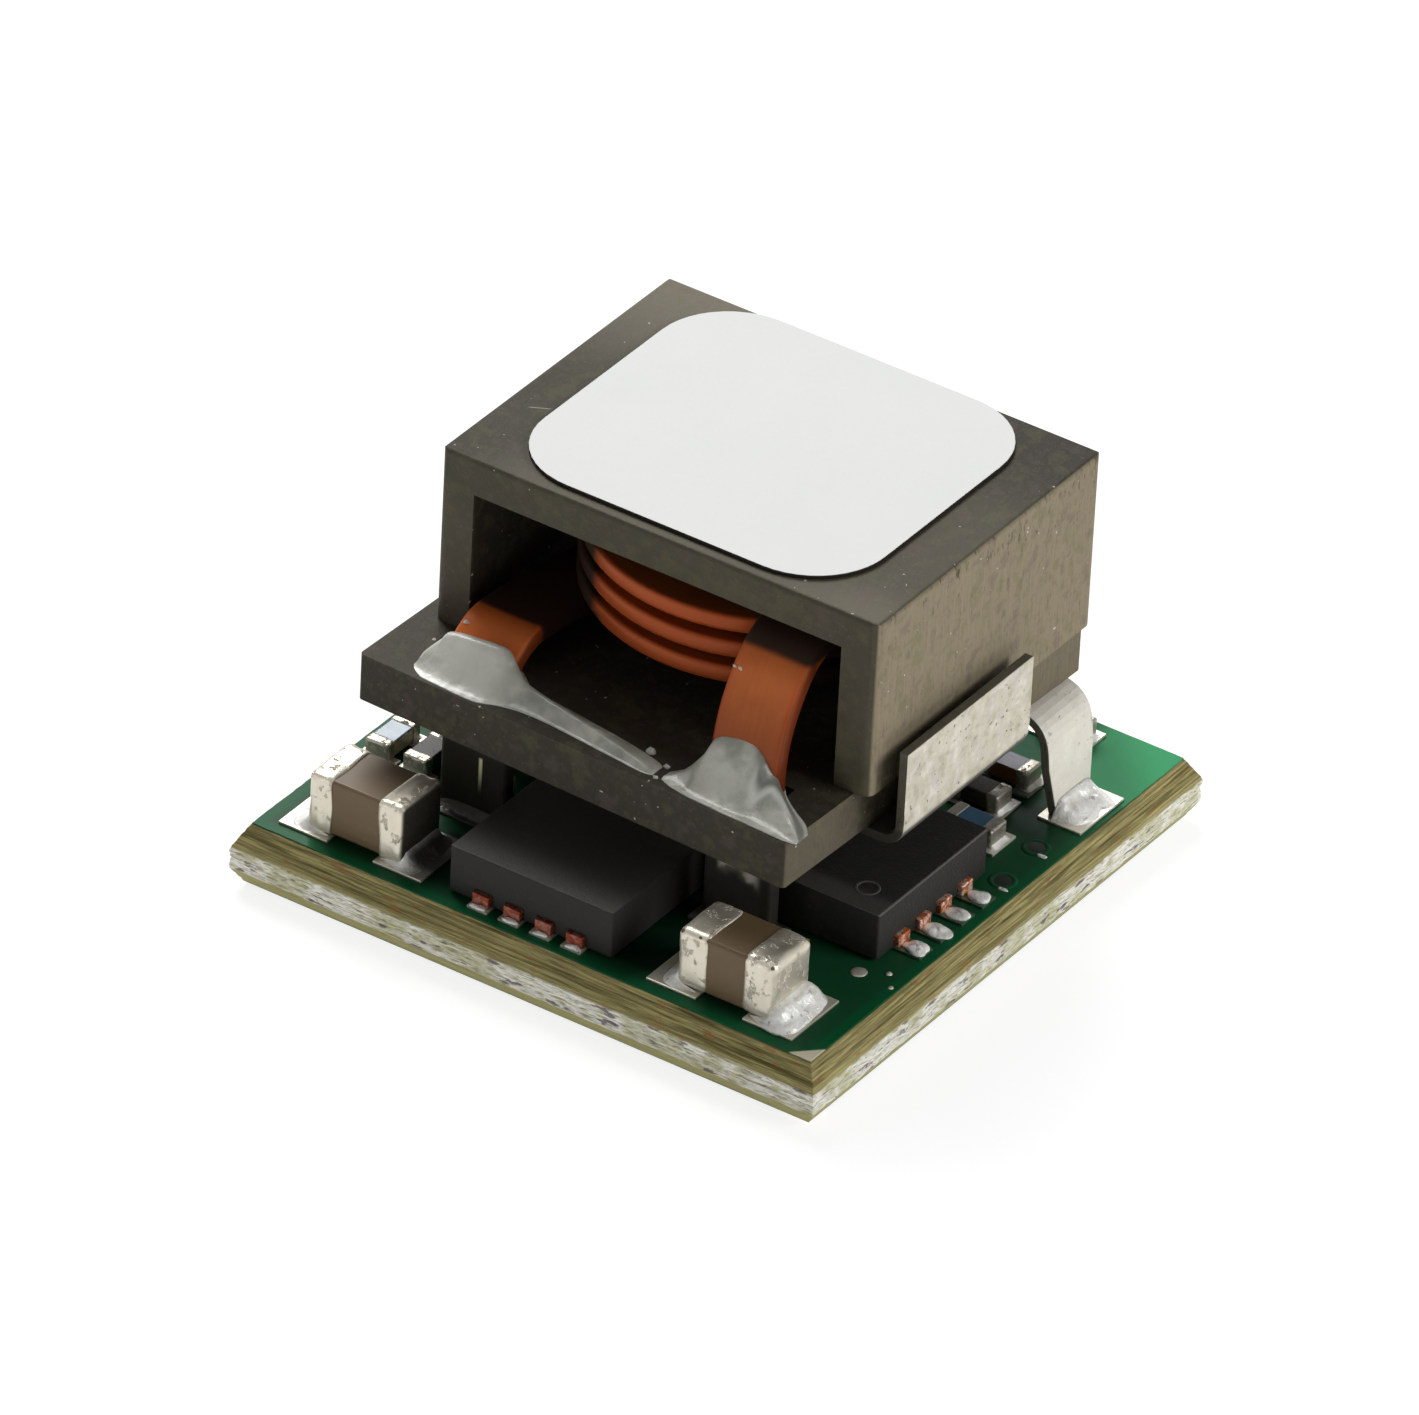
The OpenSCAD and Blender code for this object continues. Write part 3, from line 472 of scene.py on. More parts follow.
def enamel_finish():
    """Copper under amber enamel, redder along the wire's edges, and tinned below the plate. Painted
    light makes the leads lighter high up and the left lead lighter all over; painted shade darkens the
    right lead low down, the flanks that face right, the wire where it runs back into the window and the
    far turns."""
    material, shader, place, facing = start_finish("wire_enamel", Coat_Roughness=0.2,
                                                   Specular_IOR_Level=0.2)
    tree = material.node_tree
    wire = Shade(tree, tree.nodes.new("ShaderNodeUVMap").outputs[0])
    _, over, _ = split(wire)
    x, y, z = split(place)
    side, _, _ = split(facing)
    drawn = noise(stretched(wire, 1.2, 0.05, 1), 1.0, detail=4)
    cloud = noise(place, 0.7, detail=3)
    on_left, on_right = fall(x, *LEFT_OF_COIL), rise(x, *RIGHT_OF_COIL)
    outside = fall(y, CORE_FRONT + 0.04, CORE_FRONT + 0.14)
    left_lead = outside * on_left
    left_run = rise(y, -2.52, -2.36) * fall(z, 5.15, 5.3) * on_left
    right_run = rise(y, -2.64, -2.46) * rise(z, 6.38, 6.5) * on_right
    far_turns = rise(y - 0.8 * rise(x, -2.2, -1.4) + 0.8, -1.85, -1.2)
    deep = most(left_run + right_run, far_turns)
    tinned = fall(z + 0.4 * cloud, 3.35, 3.6)
    plain = 1 - most(deep, tinned)
    # Painted light: the leads are lighter high up, outside the window
    # Where this share falls below nothing, the mix takes it as nothing
    lit = outside * (0.7 * rise(z, 5.2, 6.2) - 0.35)
    colour = coats(
        blend(drawn, "#A5531D", "#BF6A2C"),
        (rise(cloud, 0.3, 0.8) * 0.5, "#924417"),
        (rise(abs(over - 0.5), 0.36, 0.47) * 0.7, "#AC4A20"),
        (lit, "#D9713C"),
        # Painted shade: the right lead is darker low down
        (outside * fall(z, 5.1, 6.0) * rise(x, 0, 1) * 0.6, "#7A3512"),
        # Painted light: the left lead is lighter
        (left_lead * 0.9, "#F07C3A"),
        # Painted shade on flanks that face right
        (outside * rise(side, 0.45, 0.85) * 0.65, "#5E2A12"),
        # Painted shade where the wire runs back into the window and on the far turns
        (deep * 0.98, "#271A12"),
        # Below the plate: tin with painted shade and painted highlights
        (tinned, foot_colour(place, cloud)),
    )
    feed(shader, Base_Color=colour, Roughness=0.6 - 0.16 * plain, Coat_Weight=0.08 * plain,
         Metallic=0.3 * plain * (1 - 0.8 * left_lead) + 0.25 * tinned, Normal=relief(drawn, 0.006))
    return material


FINISHES["enamel"] = enamel_finish()
print("finish made: enamel")

# %% [markdown]
# The glue is a grey epoxy that set in soft folds under a glossy skin. The label is a white film, and
# its cut edge is dark. The film could have one material for its face and one
# for its edge. One material that asks which way each face looks is simpler, and works on any outline.

# %% Glue and label
def glue_finish():
    """Set grey epoxy: smooth and glossy, with painted light that makes the left mound lightest, and
    painted shade on the right mound's flank behind a painted highlight along its ridge."""
    material, shader, place, facing = start_finish("grey_glue", Coat_Weight=0.3, Coat_Roughness=0.12)
    x, _, _ = split(place)
    side, _, _ = split(facing)
    cloud = noise(place, 0.6, detail=4)
    folds = noise(stretched(place, 0.5, 0.9, 0.5), 1.0, detail=2)
    flank = rise(side, 0.1, 0.5) * rise(x, 2.5, 3.0)
    ridge = band(side, 0.02, 0.2, 0.2, 0.45) * band(x, 2.8, 3.1, 3.6, 4.0)
    colour = coats(
        blend(rise(cloud, 0.35, 0.65), "#A3A699", "#CFD0C4"),
        # Painted light on the left mound; painted shade on the right flank and a painted highlight on
        # its ridge
        (fall(x, -2.6, -1.6) * 0.75, "#E3E3D9"),
        (flank * 0.8, "#565852"),
        (ridge * 0.6, "#FBFBF4"),
    )
    feed(shader, Base_Color=colour, Roughness=0.34 + 0.14 * cloud,
         Normal=relief(cloud + 2 * folds, 0.05))
    return material


def label_finish():
    """White film with a satin face; its cut edge is dark."""
    material, shader, place, facing = start_finish("label_film", Specular_IOR_Level=0.25)
    _, _, up = split(facing)
    cloud = noise(place, 1.8, detail=3)
    weave = noise(place, 0.05, detail=2)
    colour = blend(rise(up, 0.4, 0.7), "#2C261F", blend(cloud, "#E2E4E2", "#E8E9E7"))
    feed(shader, Base_Color=colour, Roughness=0.5 + 0.1 * weave, Normal=relief(weave, 0.004))
    return material


FINISHES |= {"glue": glue_finish(), "label": label_finish()}
print("finishes made: glue, label")

# %% [markdown]
# Tin is bright when new, but here it has been dipped, fired, soldered and handled: it is cream, cloudy
# and pitted, and bare metal shows on the clip's cut edges. A mirror-like metal would look like chrome.
# So each of these is only partly metallic, and its roughness changes with its own spots and marks.

# %% Tin, solder and copper
LEAD_Y = -3.19


def clip_finish():
    """Dull tin plate on a sheet: cream, with lilac and olive clouds, groups of pits and bare edges;
    painted light makes the leg lighter, and painted shade darkens the lower bend and faces that look
    down.
    """
    material, shader, place, facing = start_finish("tinned_clip")
    _, y, z = split(place)
    _, along, up = split(facing)
    cut = rise(abs(along) + rise(up, 0.85, 0.97) * rise(z, 4.8, 4.9), 0.5, 0.8)
    base = fall(z, 3.42, 3.55) * fall(abs(y), 2.1, 2.3)
    shaded_under = most(base, fall(up, -0.5, -0.12))
    leg = rise(y, 2.4, 2.6)
    cloud = noise(place, 0.9, detail=4)
    scuff = noise(place, 0.3, detail=5, rough=0.7)
    streak = noise(stretched(place, 1, 0.15, 0.9), 1.0, detail=4)
    pores = rise(noise(place, 0.11, detail=2), 0.66, 0.7) * rise(cloud, 0.42, 0.55)
    colour = coats(
        blend(cloud, "#BBB4A0", "#D6D0C1"),
        (rise(streak, 0.5, 0.7) * 0.6, "#CBC3CC"),
        (rise(scuff, 0.5, 0.64) * 0.5, "#A29B80"),
        (fall(scuff, 0.34, 0.48) * 0.45, "#E9E5DC"),
        # Painted light on the leg
        (leg * 0.6, "#EDEAE0"),
        (pores * (0.75 - 0.4 * leg), "#4F4938"),
        (cut * 0.92, blend(streak, "#1D1B12", "#4C4733")),
        # Painted shade on the lower bend and on faces that look down
        (shaded_under * 0.92, "#2A271C"),
    )
    bright = 1 - most(cut, shaded_under)
    feed(shader, Base_Color=colour, Metallic=(0.2 + 0.2 * cloud) * (1 - 0.6 * leg) * bright,
         Roughness=0.4 + 0.2 * scuff, Normal=relief(scuff + pores, 0.014))
    return material


def left_nook(x, y):
    """1 in the nook behind the left capacitor's right end, which lies in deep shade."""
    return band(x, -3.05, -2.85, -1.9, -1.7) * band(y, -5.4, -5.1, -3.9, -3.7)


def solder_finish():
    """Set solder: white and crinkled, with dark flux in its hollows, and painted shade all over it
    under the plate and in the left nook.
    """
    material, shader, place, _ = start_finish("solder")
    x, y, _ = split(place)
    lumps = noise(place, 0.3, detail=2)
    crinkle = noise(place, 0.13, detail=4, rough=0.6, twist=0.5)
    flux = rise(noise(place, 0.15, detail=3), 0.6, 0.68)
    by_leads = fall(abs(y - LEAD_Y), 0.44, 0.52) * fall(abs(x), 3.8, 4.0)
    in_shade = most(by_leads, left_nook(x, y))
    colour = coats(
        blend(rise(lumps, 0.3, 0.55), "#EBE8DF", "#FFFFFC"),
        (flux * 0.5, "#5A5340"),
        # Painted shade by the leads under the plate and in the left nook
        (in_shade * 0.9, "#24221C"),
    )
    feed(shader, Base_Color=colour, Metallic=(0.1 - 0.08 * flux) * (1 - in_shade),
         Roughness=0.26 + 0.25 * flux, Normal=relief(lumps + crinkle, 0.03))
    return material


def tin_finish(name, dull, spot_size, gain):
    """Plated tin: light grey cream with duller patches of wear, and painted shade on the end face that
    looks into the left nook."""
    material, shader, place, facing = start_finish(name, Specular_IOR_Level=0.12)
    x, y, _ = split(place)
    side, _, up = split(facing)
    on_top = rise(up, 0.5, 0.9)
    sheltered = rise(side, 0.5, 0.9) * fall(x, -2.6, -2.4) * fall(y, -3.6, -3.4)
    cloud = noise(place, 3 * spot_size, detail=4)
    spots = rise(noise(place, spot_size, detail=5, rough=0.7), 0.54, 0.68)
    colour = coats(
        blend(cloud, paint("#CFC7B4", gain), paint("#EAE4D5", gain)),
        (spots * (dull + 0.6 * on_top), "#514C40"),
        # Painted shade on the end face that looks into the left nook
        (sheltered * 0.96, "#17170F"),
    )
    feed(shader, Base_Color=colour, Metallic=(0.72 - 0.2 * spots) * (1 - sheltered),
         Roughness=0.34 + 0.2 * spots, Normal=relief(cloud + spots, 0.02))
    return material


def copper_finish():
    """Sawn copper leads with touches of tin, most of them on the side switch, whose leads are painted a
    lighter orange than the front ones, as painted light.
    """
    material, shader, place, _ = start_finish("sawn_copper")
    x, _, _ = split(place)
    at_side = rise(x, 3, 4)
    wiped = rise(noise(place, 0.1, detail=3), 0.46, 0.56) * (0.15 + 0.85 * at_side)
    marks = noise(stretched(place, 1, 1, 0.2), 0.12, detail=3)
    colour = coats(
        blend(marks, "#6A2410", "#AA4A24"),
        # Painted light: a lighter orange on the side switch's leads
        (at_side * 0.7, "#DC7438"),
        (wiped * 0.85, "#FFEADC"),
    )
    feed(shader, Base_Color=colour, Metallic=0.4 + 0.4 * wiped, Roughness=0.3 + 0.2 * marks,
         Normal=relief(marks, 0.02))
    return material


FINISHES |= {
    "clip": clip_finish(), "solder": solder_finish(), "copper": copper_finish(),
    "big_ends": tin_finish("capacitor_tin", dull=0.02, spot_size=0.2, gain=1),
    # The chips' tin is painted darker by its gain, as painted shade
    "small_ends": tin_finish("chip_tin", dull=0.15, spot_size=0.15, gain=0.55),
}
print("finishes made: clip, solder, copper, big_ends, small_ends")

# %% [markdown]
# The chips' bodies are the plainest things here: black moulding compound full of fine grains, brown or
# dark fired ceramic, and resistors with a coloured glass on top. A flat colour would do from far off.
# Close to, a little grain and a change of tone with the way a face looks keep them from looking drawn.

# %% Mould compound, ceramics and glaze
def epoxy_finish(name, gain):
    """Black moulding compound: fine grains of filler, rougher and greyer on the sides, with painted
    light on the front switch's top and a painted highlight along the side switch's upper edges."""
    material, shader, place, facing = start_finish(name, Specular_IOR_Level=0.25)
    x, y, _ = split(place)
    _, _, up = split(facing)
    side = fall(abs(up), 0.5, 0.9)
    edge_highlight = band(up, 0.2, 0.35, 0.93, 0.97) * rise(x, 2.0, 2.4)
    grain = noise(place, 0.05, detail=2)
    cloud = noise(place, 1.0, detail=3)
    colour = coats(
        blend(cloud, paint("#20201D", gain), paint("#292926", gain)),
        # Painted light on the front switch's top
        ((1 - side) * fall(y, -2.4, -2.1) * 0.7, "#504E49"),
        (side * 0.8, "#2A2926"),
        (rise(grain, 0.64, 0.74) * 0.5, "#4C4942"),
        # Painted highlight along the side switch's upper edges
        (edge_highlight * 0.5, "#77756E"),
    )
    feed(shader, Base_Color=colour, Roughness=0.5 + 0.2 * side, Normal=relief(grain, 0.012))
    return material


def ceramic_finish(name, dark, light):
    """Fired dielectric: an even colour with faint bands and a satin face."""
    material, shader, place, _ = start_finish(name, Specular_IOR_Level=0.35)
    cloud = noise(place, 0.9, detail=3)
    layers = noise(stretched(place, 2, 2, 0.06), 1.0, detail=2)
    chips = rise(noise(place, 0.2, detail=3), 0.66, 0.74)
    colour = coats(
        blend(cloud * 0.7 + layers * 0.3, dark, light),
        (chips * 0.3, "#9A8766"),
    )
    feed(shader, Base_Color=colour, Roughness=0.42 + 0.12 * cloud, Normal=relief(layers + chips, 0.006))
    return material


def glaze_finish(name, glass, rim, coat):
    """Resistor: coloured glass on top of a ceramic chip, whose sides show as the rim."""
    material, shader, place, facing = start_finish(name, Coat_Weight=coat, Coat_Roughness=0.1)
    _, _, up = split(facing)
    cloud = noise(place, 0.3, detail=3)
    colour = blend(rise(up, 0.5, 0.8), rim, blend(cloud, glass, paint(glass, 1.5)))
    feed(shader, Base_Color=colour, Roughness=0.3 + 0.1 * cloud, Normal=relief(cloud, 0.008))
    return material


FINISHES |= {
    "epoxy": epoxy_finish("black_epoxy", gain=1),
    "mark": epoxy_finish("moulded_mark", gain=4),
    "ceramic": ceramic_finish("capacitor_ceramic", "#614E35", "#796549"),
    "dark_ceramic": ceramic_finish("small_ceramic", "#2B2A24", "#45423A"),
    "crumb": ceramic_finish("glue_crumb", "#C9C9C2", "#EDEDEA"),
    "via": ceramic_finish("via_plug", "#0A140E", "#14261C"),
    "teal": glaze_finish("teal_glaze", "#24506A", "#B8A888", coat=0.4),
    "violet": glaze_finish("violet_glaze", "#2E2C48", "#7A4E28", coat=0.1),
}
print("finishes made:", len(FINISHES), "so far")

# %% [markdown]
# The board is a stack of resin and glass cloth under a green mask. Its scored edge shows the plies as
# olive stripes, and the snapped web between the scores shows white torn fibre. Each could be its own
# material on its own faces. One finish that asks for the height changes from one to the other along an
# uneven line, as the real edge does. The pads are tinned copper. Painted shade darkens the mask and
# pads in the nooks and the pads by the leads, and painted light brightens the mask towards the far
# right corner.

# %% Board finish
FACE, UNDER_FACE, EDGE = 5.82, 5.9, 6.1
TOP, WEB_TOP, WEB_LOW, UNDERSIDE = 1.25, 0.75, 0.36, 0.05
SIDE_SWITCH_Y = -1.02


def mask_colour(place, cloud):
    """Green mask: lighter over the copper at the far right corner and brighter still towards it as
    painted light, bright along the rim, painted shade in the nooks between the parts, and bare at the
    front corner."""
    x, y, _ = split(place)
    pour = rise(y + 0.15 * cloud, 3.85, 4.0) * rise(x, 3.8, 4.4)
    light = blend(cloud, "#2F9560", "#45A86F")
    rim = rise(most(abs(x), abs(y)), FACE - 0.3, FACE - 0.12)
    by_leg = band(x, 3.9, 4.4, 5.0, 5.5) * band(y, 1.8, 2.2, 2.8, 3.2)
    by_switch = band(x, 1.2, 1.4, 2.9, 3.6) * band(y, -5.45, -5.2, -2.6, -2.4)
    bare_corner = rise(x - y, 2 * FACE - 0.46, 2 * FACE - 0.4)
    return coats(
        blend(cloud, "#164128", "#1C5535"),
        # Copper pour, with painted light that brightens it towards the far right corner
        (pour, blend(rise(x + y, 9.6, 11.2), "#2F7B50", light)),
        (rim * (1 - pour) * 0.8, "#0C5E36"),
        # Painted shade in the nooks by the leg, behind the left capacitor and by the front switch
        (by_leg * 0.7, "#0A1710"),
        (left_nook(x, y + 0.1) * 0.75, "#0A1710"),
        (by_switch * 0.8, "#0A1710"),
        (bare_corner, "#DAD3B8"),
    )


def score_colour(z, ply, thread, blotch):
    """Striped plies of a score cut, paler where it meets the web."""
    return coats(
        blend(rise(ply, 0.3, 0.7), "#676039", "#ABA16F"),
        (rise(thread, 0.5, 0.64) * 0.75, "#C9BA7E"),
        (fall(thread, 0.34, 0.46) * 0.7, "#4A3F28"),
        (rise(blotch, 0.58, 0.66) * 0.55, "#9A6640"),
        (fall(z, WEB_TOP, WEB_TOP + 0.16) * 0.5, "#BDB47E"),
    )


def torn_colour(place, sheet, fibre, thread):
    """Torn fibre of the web: white, with olive resin and grey flecks."""
    flecks = rise(noise(stretched(sheet, 0.5, 0.11, 1), 1.0, detail=4), 0.58, 0.64)
    return coats(
        blend(rise(fibre, 0.33, 0.56), "#B6B28F", "#F8F6EF"),
        (rise(noise(place, 0.7), 0.46, 0.6) * 0.45, "#A9A964"),
        (rise(thread, 0.56, 0.66) * 0.6, "#9C8F52"),
        (flecks * 0.8, blend(fibre, "#3E3845", "#7A6F80")),
    )


def board_finish():
    """Solder mask over laminate, with striped score cuts and torn white fibre between them."""
    material, shader, place, _ = start_finish("board_laminate", Specular_IOR_Level=0.06)
    x, y, z = split(place)
    sheet = place.node("ShaderNodeCombineXYZ", None, {0: x + y, 1: z, 2: 0.0})
    flat = rise(z, TOP - 0.03, TOP - 0.01) + fall(z, UNDERSIDE + 0.004, UNDERSIDE + 0.012)
    cloud = noise(place, 2.2, detail=4)
    weave = noise(place, 0.35, detail=2)
    ply = noise(stretched(sheet, 3.5, 0.11, 1), 1.0, detail=4, rough=0.65)
    thread = noise(stretched(sheet, 1.4, 0.04, 1), 1.0, detail=4, rough=0.6)
    blotch = noise(stretched(sheet, 0.5, 0.12, 1), 1.0, detail=3)
    fibre = noise(stretched(sheet, 0.3, 0.045, 1), 1.0, detail=4, rough=0.7)
    level = z + 0.05 * (blotch - 0.5)
    in_web = band(level, WEB_LOW - 0.03, WEB_LOW, WEB_TOP, WEB_TOP + 0.04)
    low = fall(level, WEB_LOW - 0.06, WEB_LOW - 0.02)
    edge = blend(in_web, score_colour(z, ply, thread, blotch),
                 torn_colour(place, sheet, fibre, thread))
    edge = blend(low, edge, blend(ply, "#868050", "#C0BA8A"))
    colour = blend(flat, edge, mask_colour(place, cloud))
    feed(shader, Base_Color=colour, Roughness=0.62 - 0.2 * flat, Coat_Weight=0.03 * flat,
         Normal=relief((ply + fibre) * (1 - flat) + 0.3 * weave * flat, 0.03))
    return material


def pad_finish():
    """Tinned pad: pale, satin and slightly pitted, masked over in the side switch's row, and darkened
    by painted shade by the leads, by the leg and in the left nook."""
    material, shader, place, _ = start_finish("tinned_pad")
    x, y, z = split(place)
    on_top = rise(z, 1, 1.1)
    cloud = noise(place, 0.3, detail=3)
    stain = rise(noise(place, 0.5, detail=3), 0.5, 0.7)
    row = rise(x, 4.6, 4.7) * fall(abs(y - SIDE_SWITCH_Y), 1.5, 1.6)
    by_leads = fall(abs(y - LEAD_Y), 0.5, 0.6) * fall(abs(x), 3.9, 4.1)
    by_leg = band(x, 2.6, 2.8, 4.5, 4.6) * band(y, 1.95, 2.05, 3.9, 4.1)
    shade = most(most(by_leads, 0.75 * by_leg), left_nook(x, y))
    colour = coats(
        blend(cloud, "#CCC5B3", "#EAE6DA"),
        (stain * 0.3, "#8E8468"),
        (row * on_top * 0.92, "#0C4628"),
        # Painted shade by the leads, by the leg and in the left nook
        (shade * on_top * 0.85, "#24221C"),
    )
    bare = 1 - most(row, shade) * on_top
    feed(shader, Base_Color=colour, Metallic=(0.3 + 0.3 * cloud) * bare, Roughness=0.42 - 0.15 * cloud,
         Normal=relief(cloud, 0.015))
    return material


FINISHES |= {"board": board_finish(), "pads": pad_finish()}
print("finishes made:", len(FINISHES), "in all")

# %% [markdown]
# ## Meshes from formulas
# Every new surface is a grid of points that one formula works out at once. The grid's neighbours
# become quads. A skin closes a row of rings into a solid, the way a net closes round hoops.


# %% Grid tools
def quads(rows, columns, closed):
    """Quads of a grid of points; a closed grid also joins its last column to its first."""
    i = np.arange(rows - 1)[:, None]
    j = np.arange(columns if closed else columns - 1)[None, :]
    k = (j + 1) % columns
    faces = [i * columns + j, i * columns + k, (i + 1) * columns + k, (i + 1) * columns + j]
    return np.stack(np.broadcast_arrays(*faces), -1).reshape(-1, 4)


def volume(points, faces):
    """Signed volume under the quads: positive where they face outwards."""
    a, b, c, d = (points[faces[:, k]] for k in range(4))
    halves = np.einsum("ij,ij->i", a, np.cross(b, c)) + np.einsum("ij,ij->i", a, np.cross(c, d))
    return halves.sum() / 6


def skin(rings):
    """Points and faces of a closed solid over rings of equal count, with flat ends."""
    rows, columns, _ = rings.shape
    points = rings.reshape(-1, 3)
    walls = quads(rows, columns, True)
    first = list(range(columns))[::-1]
    last = list(range((rows - 1) * columns, rows * columns))
    if volume(points - points.mean(0), walls) < 0:
        return points, walls[:, ::-1].tolist() + [first[::-1], last[::-1]]
    return points, walls.tolist() + [first, last]


def joined(solids):
    """Several solids as one list of points and faces."""
    points, faces, count = [], [], 0
    for some_points, some_faces in solids:
        points.append(some_points)
        faces += [[count + k for k in face] for face in some_faces]
        count += len(some_points)
    return np.concatenate(points), faces


def add_piece(name, solid, finish, smooth=True, nodes=()):
    """Makes the mesh in metres, gives it its finish, and lets it ride with the module."""
    points, faces = solid
    mesh = bpy.data.meshes.new(name)
    mesh.from_pydata((points * MM).tolist(), [], faces)
    mesh.polygons.foreach_set("use_smooth", np.full(len(mesh.polygons), smooth))
    mesh.materials.append(FINISHES[finish])
    mesh.validate()
    piece = bpy.data.objects.new(name, mesh)
    bpy.context.scene.collection.objects.link(piece)
    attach(piece, "root")
    if nodes:
        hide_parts(*nodes)
    print(f"{name}: {len(points)} points, {len(faces)} faces")
    return piece


def lattice(u, v, cells_u, cells_v, seed):
    """Smooth random heights from -1 to 1: values drawn at the corners of a lattice that repeats,
    blended between the four corners about each point by an ease curve. u and v run from 0 to 1."""
    table = np.random.default_rng(seed).uniform(-1, 1, (cells_u, cells_v))
    x, y = u * cells_u, v * cells_v
    i, j = np.floor(x).astype(int), np.floor(y).astype(int)
    s, t = x - i, y - j
    s, t = s * s * (3 - 2 * s), t * t * (3 - 2 * t)
    a, b = table[i % cells_u, j % cells_v], table[(i + 1) % cells_u, j % cells_v]
    c, d = table[i % cells_u, (j + 1) % cells_v], table[(i + 1) % cells_u, (j + 1) % cells_v]
    return (a * (1 - s) + b * s) * (1 - t) + (c * (1 - s) + d * s) * t


def run_along(points):
    """Length gone along a path at each of its points."""
    return np.concatenate([[0], np.cumsum(np.linalg.norm(np.diff(points, axis=0), axis=1))])


def box_mm(node):
    """Lowest and highest corner of a node, in millimetres."""
    low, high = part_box(node)
    return np.array(low) / MM, np.array(high) / MM


print("grid tools ready")

# %% [markdown]
# ## The board's snapped edge
# Boards like this are made many to a panel. V-shaped cuts score the panel from both sides and the thin
# web left between them is snapped, which tears the glass fibre. A bevel modifier could make the cuts,
# but not the torn web. So the whole board is one net: a square outline carried round, with a profile
# of score, web and score, pushed in by noise that is fine along the cuts and coarse on the web.

# %% Board panel
SIDE_STATIONS = 420
SCORE_DEPTH = 0.016
TEAR_DEPTH = 0.06


def square_outline(count):
    """Points of a square of half size 1, count to a side, and the way gone round it from 0 to 1."""
    t = np.linspace(-1, 1, count + 1)[:-1]
    one = np.ones(count)
    x = np.concatenate([t, one, -t, -one])
    y = np.concatenate([-one, t, one, -t])
    return np.stack([x, y], -1), np.arange(4 * count) / (4 * count)


def board_profile():
    """Half width and height down the board's edge, with the depth of score and tear at each row."""
    inner = np.array([[0.5, TOP], [FACE - 0.6, TOP]])
    upper = np.linspace([FACE, TOP], [EDGE, WEB_TOP], 15)
    web = np.linspace([EDGE, WEB_TOP], [EDGE, WEB_LOW], 13)[1:]
    lower = np.linspace([EDGE, WEB_LOW], [UNDER_FACE, UNDERSIDE], 10)[1:]
    under = np.array([[UNDER_FACE - 0.6, UNDERSIDE], [0.5, UNDERSIDE]])
    rows = np.concatenate([inner, upper, web, lower, under])
    z = rows[:, 1]
    on_face = (z >= TOP) | (z <= UNDERSIDE)
    web_middle, half_web = (WEB_TOP + WEB_LOW) / 2, (WEB_TOP - WEB_LOW) / 2
    torn = np.clip(1 - np.abs(z - web_middle) / (half_web + 0.06), 0, 1) ** 0.4
    return rows, np.where(on_face, 0, SCORE_DEPTH), np.where(on_face, 0, TEAR_DEPTH * torn)


def board_solid():
    """Square outline times half width, less score and tear noise, at each height of the profile."""
    outline, way = square_outline(SIDE_STATIONS)
    rows, score, tear = board_profile()
    v = (rows[:, 1] / TOP)[:, None] * 0.999
    u = way[None, :]
    lines = 0.5 + 0.5 * lattice(u, v, 90, 34, 1)
    tufts = 0.5 + 0.5 * lattice(u, v, 300, 20, 2)
    crumbs = 0.5 + 0.5 * lattice(u, v, 700, 40, 3)
    depth = score[:, None] * lines + tear[:, None] * (0.7 * tufts ** 1.5 + 0.3 * crumbs)
    edge_wave = 0.012 * lattice(u, 0 * v, 160, 1, 4) * (np.abs(rows[:, 0] - FACE) < 0.01)[:, None]
    half = rows[:, 0][:, None] - depth - np.abs(edge_wave)
    x, y = half * outline[:, 0], half * outline[:, 1]
    z = np.broadcast_to(rows[:, 1][:, None], x.shape)
    return skin(np.stack([x, y, z], -1))


add_piece("board_panel", board_solid(), "board", smooth=False, nodes=["board"])

# %% [markdown]
# ## The winding
# Flat enamelled wire is wound on edge into three and a half turns, then both ends are formed forwards
# and down through slots in the plate. A curve with a bevel profile could follow the path, but it would
# twist at the bends. Here the wire's own section is carried along the path with its wide side held to
# the coil's radius, and to the side on the leads.

# %% Winding path
CORE_Y = 1.08
COIL_R = 2.57
COIL_TOP = 6.65
COIL_END = 4.8125
TURNS, COIL_STATIONS = 3.5, 340
WIRE_W, WIRE_T, WIRE_EDGE, FACE_HOLLOW = 1.4, 0.35, 0.1, 0.014
LEAD_FOOT = 1.30
RIGHT_X, LEFT_X = 2.57, -2.93
UPPER_LEAN, LOWER_LEAN, KNEE, BEND = 0.95, 0.55, 0.4, 0.45


def mix(a, b, t):
    """The value a share t of the way from a to b."""
    return a + (b - a) * t


def round_bend(a, corner, b, reach, count=16):
    """A corner rounded over reach on both sides: the point slides from a's side to the corner and
    from the corner to b's side at once, and the curve runs between the two sliding points."""
    t = np.linspace(0, 1, count)[:, None]
    start = corner + reach * (a - corner) / np.linalg.norm(a - corner)
    end = corner + reach * (b - corner) / np.linalg.norm(b - corner)
    return mix(mix(start, corner, t), mix(corner, end, t), t)


